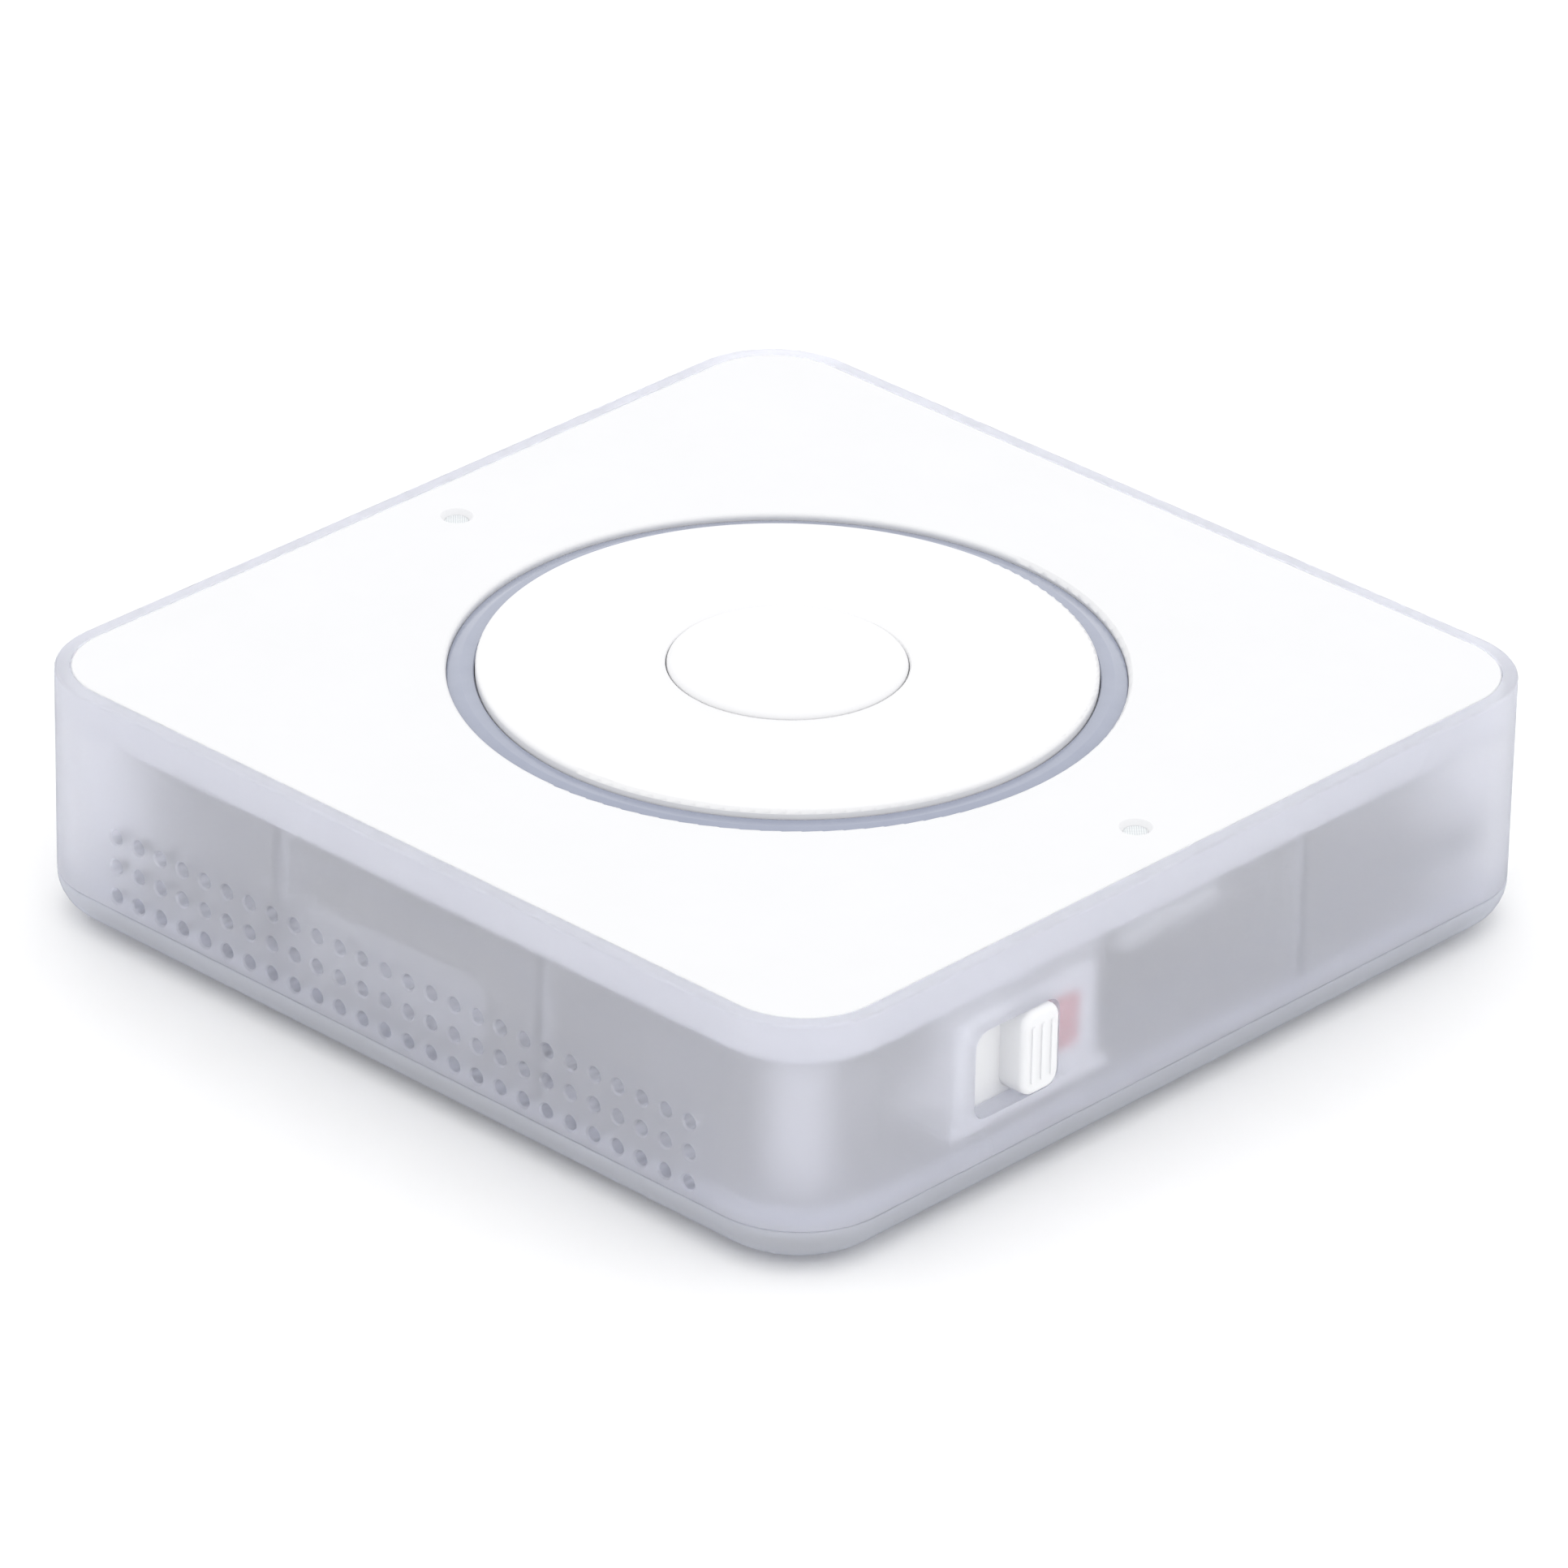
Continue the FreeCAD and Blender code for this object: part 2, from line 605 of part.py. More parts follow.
def wall_ribs():
    """Two upright ribs inside each wall; the mute slider runs where one would stand."""
    z0 = Z_SEAM + LIP_H + FREE_GAP
    rib = block(INNER - RIB_DEPTH, INNER + OVERLAP, -RIB_W / 2, RIB_W / 2, z0, Z_SKIRT)
    for side in range(4):
        for sign in (-1, 1):
            if side == MUTE_SIDE and sign < 0:
                continue
            copy = rib.copy()
            copy.translate(V(0, sign * RIB_SPAN / 2, 0))
            copy.rotate(ORIGIN, Z_AXIS, (side - MUTE_SIDE) * 90)
            yield copy


def port_openings():
    """Openings of the three sockets and of the mute knob's slot."""
    in_wall = INNER - OVERCUT
    outside = HALF + OVERCUT
    wider = 2 * PORT_GAP
    usb = bar_y(USB_X, Z_USB, USB_W + wider, USB_H + wider, USB_CORNER, in_wall, outside)
    jack_side = JACK_COLLAR + wider
    jack = bar_y(JACK_X, Z_JACK, jack_side, jack_side, JACK_COLLAR_CORNER, in_wall, outside)
    acc = bar_x(ACC_Y, Z_ACC, ACC_W + wider, ACC_H + wider, ACC_CORNER, -outside, -in_wall)
    slot = bar_x(SLOT_Y, SLOT_Z, SLOT_L, SLOT_H, SLOT_CORNER, in_wall, outside)
    return [usb, jack, acc, slot]


def outer_shell():
    low = Z_SEAM + SEAM_GAP
    shell = case_prism(0, low, Z_RIM)
    shell = shell.makeFillet(RIM_ROUND, edges_at(shell, Z_RIM))
    shell = shell.makeChamfer(SEAM_BEVEL, edges_at(shell, low))
    ledge = Z_SKIRT - FIT_GAP
    shell = shell.cut(case_prism(WALL, low - OVERCUT, ledge))
    shell = shell.cut(case_prism(RIM_WALL, ledge, Z_RIM + OVERCUT))
    shell = fuse([shell] + list(wall_ribs()))
    holes = [grille_hole(x, z) for x, z in grille_places()]
    return cut(shell, holes + port_openings())


def top_cover():
    plate = case_prism(PLATE_INSET, Z_PLATE, Z_RIM)
    plate = plate.makeFillet(PLATE_EDGE, edges_at(plate, Z_RIM))
    inside = Z_PLATE + OVERLAP
    skirt = case_ring(PLATE_INSET, SKIRT_IN, Z_SKIRT, inside)
    collar = disc(HOLE_R + COLLAR_T, Z_LIGHT, inside)
    posts = [disc(POST_R, Z_BOSS, inside, x, y) for x, y in CORNERS]
    bosses = [disc(SMALL_BOSS_R, Z_LIGHT, inside, x, y) for x, y in light_screw_places()]
    cover = fuse([plate, skirt, collar] + posts + bosses)
    cover = cover.cut(disc(HOLE_R, Z_LIGHT - OVERCUT, Z_RIM + OVERCUT))
    cover = round_edge(cover, HOLE_R, Z_RIM, HOLE_EDGE)
    holes = []
    for x, y in CORNERS:
        well = Z_BOSS + SCREW_BITE + SCREW_WELL
        holes.append(disc(SCREW_SHANK_R + THREAD_GAP, Z_BOSS - OVERCUT, well, x, y))
    for x, y in light_screw_places():
        well = Z_LIGHT + SMALL_SCREW_BITE + SMALL_SCREW_WELL
        holes.append(disc(SMALL_SCREW_R + THREAD_GAP, Z_LIGHT - OVERCUT, well, x, y))
    for x in (-MIC, MIC):
        holes.append(disc(MIC_PORT_R, Z_PLATE - OVERCUT, Z_RIM, x))
        holes.append(disc(MIC_HOLE_R, Z_MESH, Z_RIM, x))
        sink_z = Z_RIM - MIC_SINK_DEPTH
        holes.append(Part.makeCone(MIC_HOLE_R, MIC_SINK_R, MIC_SINK_DEPTH, V(x, 0, sink_z)))
    return cut(cover, holes)


def speaker_cradles():
    y0 = SPEAKER_Y0 + CRADLE_FRONT
    y1 = CHAMBER_Y1 - CRADLE_BACK
    for x in (-CRADLE_SPAN / 2, CRADLE_SPAN / 2):
        yield block(x - CRADLE_T / 2, x + CRADLE_T / 2, y0, y1, Z_FLOOR - OVERLAP, SPEAKER_Z0)


def base_cover():
    base = case_prism(0, Z_BASE, Z_SEAM)
    base = base.makeFillet(BASE_ROUND, edges_at(base, Z_BASE))
    base = base.makeChamfer(SEAM_BEVEL, edges_at(base, Z_SEAM))
    lip_top = Z_SEAM + LIP_H
    base = base.fuse(case_prism(LIP_OUT, Z_FLOOR, lip_top))
    base = base.cut(case_prism(BASE_CAVITY, Z_FLOOR, lip_top + OVERCUT))
    low = Z_FLOOR - OVERLAP
    bosses = [disc(BOSS_R, low, Z_BOSS, x, y) for x, y in CORNERS]
    posts = [disc(BOARD_POST_R, low, Z_BOARD_LOW, x, y) for x, y in BOARD_SCREWS]
    base = fuse([base] + bosses + posts + list(speaker_cradles()))
    holes = [block(BRACKET_X0 - FREE_GAP, INNER + OVERCUT, BRACKET_Y0 - FREE_GAP, BRACKET_Y1 + FREE_GAP,
                   Z_BRACKET_LOW - FREE_GAP, Z_RIM)]
    for x, y in CORNERS:
        under = Z_BASE - OVERCUT
        holes.append(disc(FOOT_R + FIT_GAP, under, FOOT_T, x, y))
        holes.append(disc(SCREW_HEAD_R + SCREW_CLEAR, under, Z_SCREW_SEAT, x, y))
        holes.append(disc(SCREW_SHANK_R + SCREW_CLEAR, under, Z_BOSS + OVERCUT, x, y))
    for x, y in BOARD_SCREWS:
        well = Z_BOARD_LOW - BOARD_SCREW_BITE
        holes.append(disc(SMALL_SCREW_R + THREAD_GAP, well, Z_BOARD_LOW + OVERCUT, x, y))
    return cut(base, holes)


def rubber_feet():
    feet = []
    for x, y in CORNERS:
        foot = disc(FOOT_R, 0, FOOT_T, x, y)
        feet.append(foot.makeFillet(FOOT_EDGE, edges_at(foot, 0)))
    return Part.makeCompound(feet)


def case_screws():
    length = Z_BOSS + SCREW_BITE - Z_SCREW_SEAT
    return Part.makeCompound([
        screw(x, y, Z_SCREW_SEAT, length, SCREW_SHANK_R, SCREW_HEAD_R, SCREW_HEAD_H, True)
        for x, y in CORNERS])


# ---- dial, encoder and centre button ----
def dial():
    hub_r = SLEEVE_OUT + FIT_GAP
    skirt_in = DIAL_R - DIAL_SKIRT_T
    inside = Z_DIAL_LOW + OVERLAP
    cap = tube(DIAL_R, DIAL_BORE_R, Z_DIAL_LOW, Z_DIAL)
    cap = round_edge(cap, DIAL_R, Z_DIAL, DIAL_EDGE)
    cap = round_edge(cap, DIAL_BORE_R, Z_DIAL, DIAL_BORE_EDGE)
    skirt = tube(DIAL_R, skirt_in, Z_RING_LOW, inside)
    hub = tube(hub_r + HUB_T, hub_r, Z_FLANGE, inside)
    spoke = block(hub_r + HUB_T - OVERLAP, skirt_in + OVERLAP, -SPOKE_W / 2, SPOKE_W / 2,
                  Z_DIAL_LOW - SPOKE_DROP, inside)
    return fuse([cap, skirt, hub] + list(turned_copies(spoke, SPOKE_COUNT)))


def encoder_rotor():
    z_foot = Z_BOARD + FREE_GAP
    lip_r = SLEEVE_OUT + SNAP_LIP_W
    z_lip = z_foot + SNAP_LIP_T
    z_low = Z_ENCODER + THRUST_GAP
    flange_r = SLEEVE_OUT + FLANGE_W
    return revolved([
        (SLEEVE_IN, z_foot), (lip_r, z_foot), (lip_r, z_lip), (SLEEVE_OUT, z_lip),
        (SLEEVE_OUT, z_low), (flange_r, z_low), (flange_r, Z_FLANGE), (SLEEVE_OUT, Z_FLANGE),
        (SLEEVE_OUT, Z_DIAL_LOW), (SLEEVE_IN, Z_DIAL_LOW),
    ])


def encoder_body():
    pocket_r = SLEEVE_OUT + SNAP_LIP_W + FREE_GAP
    body = tube(ENCODER_OUT, ENCODER_BORE, Z_BOARD, Z_ENCODER)
    body = body.cut(disc(pocket_r, Z_BOARD - OVERCUT, Z_BOARD + SNAP_POCKET_H))
    notch = block(ENCODER_OUT - NOTCH_DEPTH, ENCODER_OUT + OVERCUT, -NOTCH_W / 2, NOTCH_W / 2,
                  Z_BOARD + NOTCH_LIFT, Z_ENCODER + OVERCUT)
    return cut(body, turned_copies(notch, NOTCH_COUNT, 180 / NOTCH_COUNT))


def centre_button():
    lip_top = Z_BUTTON_STOP - RUN_GAP
    lip_low = lip_top - BUTTON_LIP_H
    lip_r = SKIRT_R + BUTTON_LIP
    cap_low = Z_BUTTON - BUTTON_T
    skirt_in = SKIRT_R - BUTTON_SKIRT_T
    button = revolved([
        (0, Z_PLUNGER), (STEM_R, Z_PLUNGER), (STEM_R, cap_low), (skirt_in, cap_low),
        (skirt_in, lip_low), (lip_r, lip_low), (lip_r, lip_top), (SKIRT_R, lip_top),
        (SKIRT_R, cap_low), (BUTTON_R, cap_low), (BUTTON_R, Z_BUTTON), (0, Z_BUTTON),
    ])
    button = round_edge(button, BUTTON_R, Z_BUTTON, BUTTON_EDGE)
    rib = block(STEM_R - OVERLAP, skirt_in + OVERLAP, -BUTTON_RIB_W / 2, BUTTON_RIB_W / 2,
                cap_low - BUTTON_RIB_DROP, cap_low + OVERLAP)
    return fuse([button] + list(turned_copies(rib, BUTTON_RIB_COUNT)))


def button_guide():
    """Fixed tube that guides the button; its shoulder holds the button's snap lip."""
    pocket_r = SKIRT_R + BUTTON_LIP + RUN_GAP
    guide = tube(GUIDE_OUT, GUIDE_IN, Z_BOARD, Z_DIAL_LOW - FREE_GAP)
    return guide.cut(disc(pocket_r, Z_BOARD - OVERCUT, Z_BUTTON_STOP))


def tact_switch_body():
    side = TACT_SIDE / 2
    body = rounded_prism(side, side, TACT_CORNER, Z_BOARD, Z_TACT)
    bore_low = Z_TACT - PLUNGER_SINK - PRESS_TRAVEL - RUN_GAP
    return body.cut(disc(PLUNGER_R + RUN_GAP, bore_low, Z_TACT + OVERCUT))


def tact_switch_plunger():
    return disc(PLUNGER_R, Z_TACT - PLUNGER_SINK, Z_PLUNGER)


# ---- light ring, light board and microphones ----
def light_screw_places():
    r = (HOLE_R + SMALL_BOSS_OUT) * math.sqrt(0.5)
    return [(r, r), (-r, r), (-r, -r), (r, -r)]


def light_ring():
    top = Z_RIM - RING_DROP
    ring = revolved([
        (RING_IN, Z_RING_LOW), (RING_OUT, Z_RING_LOW), (RING_OUT, top - RING_BEVEL_H),
        (RING_OUT - RING_BEVEL_W, top), (RING_IN + RING_EDGE, top), (RING_IN, top - RING_EDGE),
    ])
    peg = disc(PEG_R, Z_LIGHT, Z_RING_LOW + OVERLAP, RING_MID)
    return fuse([ring] + list(turned_copies(peg, PEG_COUNT, PEG_TURN)))


def light_board():
    pieces = [disc(HOLE_R + LIGHT_BOARD_OUTER, Z_LIGHT_LOW, Z_LIGHT)]
    pieces.append(block(-MIC_EAR_END, MIC_EAR_END, -MIC_EAR_HALF, MIC_EAR_HALF, Z_LIGHT_LOW, Z_LIGHT))
    for x, y in light_screw_places():
        pieces.append(disc(SMALL_BOSS_R + SCREW_EAR, Z_LIGHT_LOW, Z_LIGHT, x, y))
    board = fuse(pieces)
    low = Z_LIGHT_LOW - OVERCUT
    high = Z_LIGHT + OVERCUT
    holes = [disc(DIAL_R - LIGHT_BOARD_INNER, low, high)]
    for x, y in light_screw_places():
        holes.append(disc(SMALL_SCREW_R + SCREW_CLEAR, low, high, x, y))
    for x in (-MIC, MIC):
        holes.append(disc(MIC_PORT_R, low, high, x))
    return cut(board, holes)


def leds():
    top = Z_LIGHT + LED_H
    lamp = upright(RING_MID, 0, LED_SIDE, LED_SIDE, Z_LIGHT, top)
    lamp = lamp.cut(disc(LED_LENS_R, top - LED_LENS_DEEP, top + OVERCUT, RING_MID))
    return Part.makeCompound(list(turned_copies(lamp, LED_COUNT)))


def light_board_screws():
    length = LIGHT_BOARD_T + SMALL_SCREW_BITE - SMALL_SCREW_R
    return Part.makeCompound([
        screw(x, y, Z_LIGHT_LOW, length, SMALL_SCREW_R, SMALL_HEAD_R, SMALL_HEAD_H, True)
        for x, y in light_screw_places()])


def microphones():
    cans = []
    low = Z_LIGHT_LOW - MIC_CAN_H
    for x in (-MIC, MIC):
        can = upright(x, 0, MIC_CAN_X, MIC_CAN_Y, low, Z_LIGHT_LOW)
        cans.append(can.makeFillet(MIC_CAN_EDGE, edges_at(can, low)))
    return Part.makeCompound(cans)


def mic_meshes():
    """Fine acoustic meshes on the step in each microphone port."""
    return Part.makeCompound([
        disc(MIC_HOLE_R - MESH_GAP, Z_MESH, Z_MESH + MESH_T, x) for x in (-MIC, MIC)])


def mic_gaskets():
    gaskets = []
    for x in (-MIC, MIC):
        ring = disc(MIC_GASKET_R, Z_LIGHT, Z_PLATE, x)
        gaskets.append(ring.cut(disc(MIC_PORT_R, Z_LIGHT - OVERCUT, Z_PLATE + OVERCUT, x)))
    return Part.makeCompound(gaskets)


def mic_boots():
    boots = []
    for sign in (-1, 1):
        boot = rounded_prism(BOOT_X / 2, BOOT_HALF_Y, BOOT_CORNER, Z_LIGHT_LOW - BOOT_H, Z_LIGHT_LOW)
        boot.translate(V(sign * (MIC_EAR_END - BOOT_X / 2), 0, 0))
        room = upright(sign * MIC, 0, MIC_CAN_X + 2 * FIT_GAP, MIC_CAN_Y + 2 * FIT_GAP,
                       Z_LIGHT_LOW - MIC_CAN_H - FIT_GAP, Z_LIGHT_LOW + OVERCUT)
        boots.append(boot.cut(room))
    return Part.makeCompound(boots)


# ---- main board and what stands on it ----
def main_board():
    board = block(-BOARD_X, BOARD_X, BOARD_Y0, BOARD_Y1, Z_BOARD_LOW, Z_BOARD)
    uprights = [e for e in board.Edges if e.BoundBox.ZLength > BOARD_T - SAME_LEVEL]
    board = board.makeFillet(BOARD_CORNER, uprights)
    low = Z_BOARD_LOW - OVERCUT
    high = Z_BOARD + OVERCUT
    tools = [disc(POST_R + POST_CLEAR, low, high, x, y) for x, y in CORNERS]
    tools += [disc(SMALL_SCREW_R + SCREW_CLEAR, low, high, x, y) for x, y in BOARD_SCREWS]
    tools += [disc(BRACKET_PEG_R + RUN_GAP, low, high, BRACKET_PEG_X, y) for y in BRACKET_PEG_YS]
    tools.append(block(BRACKET_X0 - FREE_GAP, BOARD_X + OVERCUT, BRACKET_Y0 - BRACKET_CLEAR,
                       BRACKET_Y1 + BRACKET_CLEAR, low, high))
    return cut(board, tools)


def board_screws():
    length = BOARD_T + BOARD_SCREW_BITE - 2 * SMALL_SCREW_R
    return Part.makeCompound([
        screw(x, y, Z_BOARD, length, SMALL_SCREW_R, SMALL_HEAD_R, SMALL_HEAD_H, False)
        for x, y in BOARD_SCREWS])


def radio_board():
    return block(RADIO_X0, RADIO_X0 + RADIO_X, RADIO_Y0, RADIO_Y0 + RADIO_Y, Z_BOARD, Z_BOARD + RADIO_T)


def radio_shield():
    x0 = RADIO_X0 + (RADIO_X - CAN_X) / 2
    x1 = x0 + CAN_X
    y0 = RADIO_Y0 + CAN_FROM_END
    y1 = y0 + CAN_Y
    z0 = Z_BOARD + RADIO_T
    z1 = z0 + CAN_H
    can = block(x0, x1, y0, y1, z0, z1)
    can = can.makeFillet(CAN_EDGE, edges_at(can, z1))
    return can.cut(block(x0 + CAN_T, x1 - CAN_T, y0 + CAN_T, y1 - CAN_T, z0 - OVERCUT, z1 - CAN_T))


def board_chips():
    chips = []
    for x, y, side, height in CHIPS:
        chip = upright(x, y, side, side, Z_BOARD, Z_BOARD + height)
        chips.append(chip.makeChamfer(CHIP_BEVEL, edges_at(chip, Z_BOARD + height)))
    return Part.makeCompound(chips)


def board_capacitors():
    cans = []
    top = Z_BOARD + CAP_H
    half = CAP_BASE_SIDE / 2
    for x, y in CAPACITORS:
        base = rounded_prism(half, half, CAP_BASE_CORNER, Z_BOARD, Z_BOARD + CAP_BASE_H)
        base.translate(V(x, y, 0))
        can = disc(CAP_R, Z_BOARD, top, x, y)
        can = can.makeFillet(CAP_EDGE, edges_at(can, top))
        cans.append(base.fuse(can))
    return Part.makeCompound(cans)


def power_inductor():
    top = Z_BOARD + INDUCTOR_H
    half = INDUCTOR_SIDE / 2
    coil = rounded_prism(half, half, INDUCTOR_CORNER, Z_BOARD, top)
    coil.translate(V(INDUCTOR_X, BOARD_Y1 - INDUCTOR_FROM_BACK, 0))
    return coil.makeFillet(INDUCTOR_EDGE, edges_at(coil, top))


def link_pins(side, z0, z1):
    """Square pins of the link between the boards, or the wells that they enter."""
    pitch = (LINK_X - LINK_END) / LINK_PINS
    for i in range(LINK_PINS):
        x = (i - (LINK_PINS - 1) / 2) * pitch
        yield upright(x, LINK_MID_Y, side, side, z0, z1)


def board_link_socket():
    socket = upright(0, LINK_MID_Y, LINK_X, LINK_Y, Z_BOARD, Z_LINK)
    return cut(socket, link_pins(LINK_PIN + 2 * RUN_GAP, Z_LINK - LINK_WELL, Z_LINK + OVERCUT))


def board_link_plug():
    plug = upright(0, LINK_MID_Y, LINK_X, LINK_Y, Z_LINK, Z_LIGHT_LOW)
    return fuse([plug] + list(link_pins(LINK_PIN, Z_LINK - LINK_PIN_L, Z_LINK + OVERLAP)))


def usb_c_shell():
    outer = bar_y(USB_X, Z_USB, USB_W, USB_H, USB_CORNER, USB_Y1 - USB_DEEP, USB_Y1)
    inner_w = USB_W - 2 * USB_METAL
    inner_h = USB_H - 2 * USB_METAL
    inner = bar_y(USB_X, Z_USB, inner_w, inner_h, USB_CORNER - USB_METAL, USB_Y0, USB_Y1 + OVERCUT)
    return outer.cut(inner)


def usb_c_tongue():
    tongue = bar_y(USB_X, Z_USB, USB_TONGUE_W, USB_TONGUE_T, USB_TONGUE_EDGE, USB_Y0, USB_Y0 + USB_TONGUE_L)
    root = bar_y(USB_X, Z_USB, USB_ROOT_W, USB_ROOT_H, USB_TONGUE_EDGE, USB_Y0, USB_Y0 + USB_ROOT_L)
    return fuse([tongue, root])


def audio_jack_body():
    """Jack housing on the board, with a square collar that fills its opening in the case."""
    mouth = HALF - JACK_INSET
    body = block(JACK_X - JACK_W / 2, JACK_X + JACK_W / 2, JACK_Y1 - JACK_DEEP, JACK_Y1,
                 Z_BOARD, Z_BOARD + JACK_H)
    collar = bar_y(JACK_X, Z_JACK, JACK_COLLAR, JACK_COLLAR, JACK_COLLAR_CORNER, JACK_Y1 - OVERLAP, mouth)
    bore = Part.makeCylinder(JACK_BORE_R, JACK_BORE_L, V(JACK_X, mouth - JACK_BORE_L, Z_JACK), Y_AXIS)
    return fuse([body, collar]).cut(bore)


def audio_jack_terminals():
    tabs = []
    for side in (-1, 1):
        x = JACK_X + side * (JACK_W + TERMINAL_T) / 2
        foot_x = JACK_X + side * (JACK_W + TERMINAL_FOOT) / 2
        for from_front in TERMINAL_PLACES:
            y = JACK_Y1 - from_front
            tab = upright(x, y, TERMINAL_T, TERMINAL_W, Z_BOARD, Z_BOARD + TERMINAL_H)
            foot = upright(foot_x, y, TERMINAL_FOOT, TERMINAL_W, Z_BOARD, Z_BOARD + TERMINAL_FOOT_T)
            tabs.append(fuse([tab, foot]))
    return Part.makeCompound(tabs)


def accessory_socket():
    x1 = ACC_X0 + ACC_DEEP
    z1 = Z_BOARD + ACC_H
    half = ACC_W / 2
    outside = ACC_X0 - OVERCUT
    housing = block(ACC_X0, x1, ACC_Y - half, ACC_Y + half, Z_BOARD, z1)
    room = block(outside, x1 - ACC_BACK, ACC_Y - half + ACC_WALL, ACC_Y + half - ACC_WALL,
                 Z_BOARD + ACC_WALL, z1 - ACC_WALL)
    key = block(outside, ACC_X0 + ACC_KEY_L, ACC_Y - ACC_KEY_W / 2, ACC_Y + ACC_KEY_W / 2,
                z1 - ACC_WALL - OVERLAP, z1 + OVERCUT)
    return cut(housing, [room, key])


def accessory_pins():
    x0 = ACC_X0 + ACC_PIN_SINK
    x1 = ACC_X0 + ACC_DEEP - ACC_BACK
    half = ACC_PIN / 2
    pins = []
    for i in range(ACC_PINS):
        y = ACC_Y + (i - (ACC_PINS - 1) / 2) * ACC_PIN_PITCH
        pins.append(block(x0, x1, y - half, y + half, Z_ACC - half, Z_ACC + half))
    return Part.makeCompound(pins)


# ---- speaker ----
def speaker_track(inset, y0, y1):
    """Racetrack bar along Y, inset from the speaker frame's outline."""
    w = SPEAKER_W - 2 * inset
    h = SPEAKER_H - 2 * inset
    return bar_y(0, SPEAKER_Z, w, h, h / 2 - SAME_RADIUS, y0, y1)


def speaker_box(w, inset, y0, y1):
    return bar_y(0, SPEAKER_Z, w - 2 * inset, SPEAKER_H - 2 * inset, SPEAKER_CORNER, y0, y1)


def magnet_bar(grow, y0, y1):
    w = MAGNET_W + 2 * grow
    h = SPEAKER_H - 2 * MAGNET_MARGIN + 2 * grow
    return bar_y(0, SPEAKER_Z, w, h, MAGNET_CORNER, y0, y1)


def speaker_frame():
    frame = speaker_box(SPEAKER_W, 0, SPEAKER_Y0, DRIVER_Y1)
    room = speaker_track(SPEAKER_RIM, SPEAKER_Y0 - OVERCUT, MAGNET_Y0)
    return cut(frame, [room, magnet_bar(SEAT_GAP, MAGNET_Y0 - OVERCUT, DRIVER_Y1 + OVERCUT)])


def speaker_surround():
    y1 = CONE_Y0 + SURROUND_T
    ring = speaker_track(SPEAKER_RIM + SEAT_GAP, CONE_Y0, y1)
    return ring.cut(speaker_track(SPEAKER_RIM + SURROUND_W, CONE_Y0 - OVERCUT, y1 + OVERCUT))


def speaker_cone():
    inset = SPEAKER_RIM + SURROUND_W + SEAT_GAP
    y1 = CONE_Y0 + CONE_DEPTH
    cone = speaker_track(inset, CONE_Y0, y1)
    dish = speaker_track(inset + CONE_RIM, CONE_Y0 - OVERCUT, y1 - CONE_T)
    cap_h = (SPEAKER_H - 2 * inset) * DUST_CAP_SHARE
    cap = bar_y(0, SPEAKER_Z, DUST_CAP_W, cap_h, cap_h / 2 - SAME_RADIUS, CONE_Y0, y1)
    return fuse([cone.cut(dish), cap])


def speaker_magnet():
    return magnet_bar(0, MAGNET_Y0, MAGNET_Y0 + MAGNET_T)


def speaker_chamber():
    """Closed box behind the driver, which looks into it through the front wall."""
    w = 2 * CHAMBER_X
    chamber = speaker_box(w, 0, DRIVER_Y1, CHAMBER_Y1)
    room = speaker_box(w, CHAMBER_WALL, DRIVER_Y1 + CHAMBER_WALL, CHAMBER_Y1 - CHAMBER_WALL)
    window = speaker_box(SPEAKER_W, CHAMBER_LAP, DRIVER_Y1 - OVERCUT, DRIVER_Y1 + CHAMBER_WALL + OVERCUT)
    return cut(chamber, [room, window])


def speaker_contacts():
    """Two spring leaves on the board's front edge that press on the chamber's back."""
    leaves = []
    y0 = BOARD_Y0 + LEAF_FROM_EDGE
    top = Z_BOARD + LEAF_H
    for x in LEAF_XS:
        x0 = x - LEAF_W / 2
        x1 = x + LEAF_W / 2
        pad = block(x0, x1, y0, y0 + LEAF_PAD, Z_BOARD, Z_BOARD + LEAF_T)
        rise = block(x0, x1, y0, y0 + LEAF_T, Z_BOARD, top)
        reach = block(x0, x1, CHAMBER_Y1, y0 + LEAF_T, top - LEAF_T, top)
        leaves.append(fuse([pad, rise, reach]))
    return Part.makeCompound(leaves)


def speaker_felt():
    """Pale felt pad on the inside of the grille, in front of the driver's upper part."""
    z0 = Z_GRILLE + GRILLE_PITCH_Z / 2 - FELT_LOW
    z1 = z0 + FELT_LOW + (GRILLE_ROWS - 1) * GRILLE_PITCH_Z + FELT_HIGH
    return block(-FELT_LEFT, FELT_RIGHT, -INNER, -INNER + FELT_T, z0, z1)


# ---- mute switch ----
def lever_bar(gap, x0, x1):
    """The switch's lever, made larger by gap for the recess that it enters."""
    return block(x0, x1, KNOB_Y - LEVER_W / 2 - gap, KNOB_Y + LEVER_W / 2 + gap,
                 LEVER_Z - LEVER_H / 2 - gap, LEVER_Z + LEVER_H / 2 + gap)


def lever_run(gap, x0, x1):
    """Room for the lever's travel, with gap on every side."""
    half_run = (MUTE_TRAVEL + LEVER_W) / 2 + gap
    return block(x0, x1, SWITCH_MID_Y - half_run, SWITCH_MID_Y + half_run,
                 LEVER_Z - LEVER_H / 2 - gap, LEVER_Z + LEVER_H / 2 + gap)


def pad_bar(grow, x1):
    """The red pad on the slider, made larger by grow for its recess."""
    y = KNOB_Y1 + PAD_FROM_KNOB + PAD_W / 2
    return bar_x(y, SLOT_Z, PAD_W + 2 * grow, PAD_H + 2 * grow, PAD_CORNER, TONGUE_X1 - PAD_T, x1)


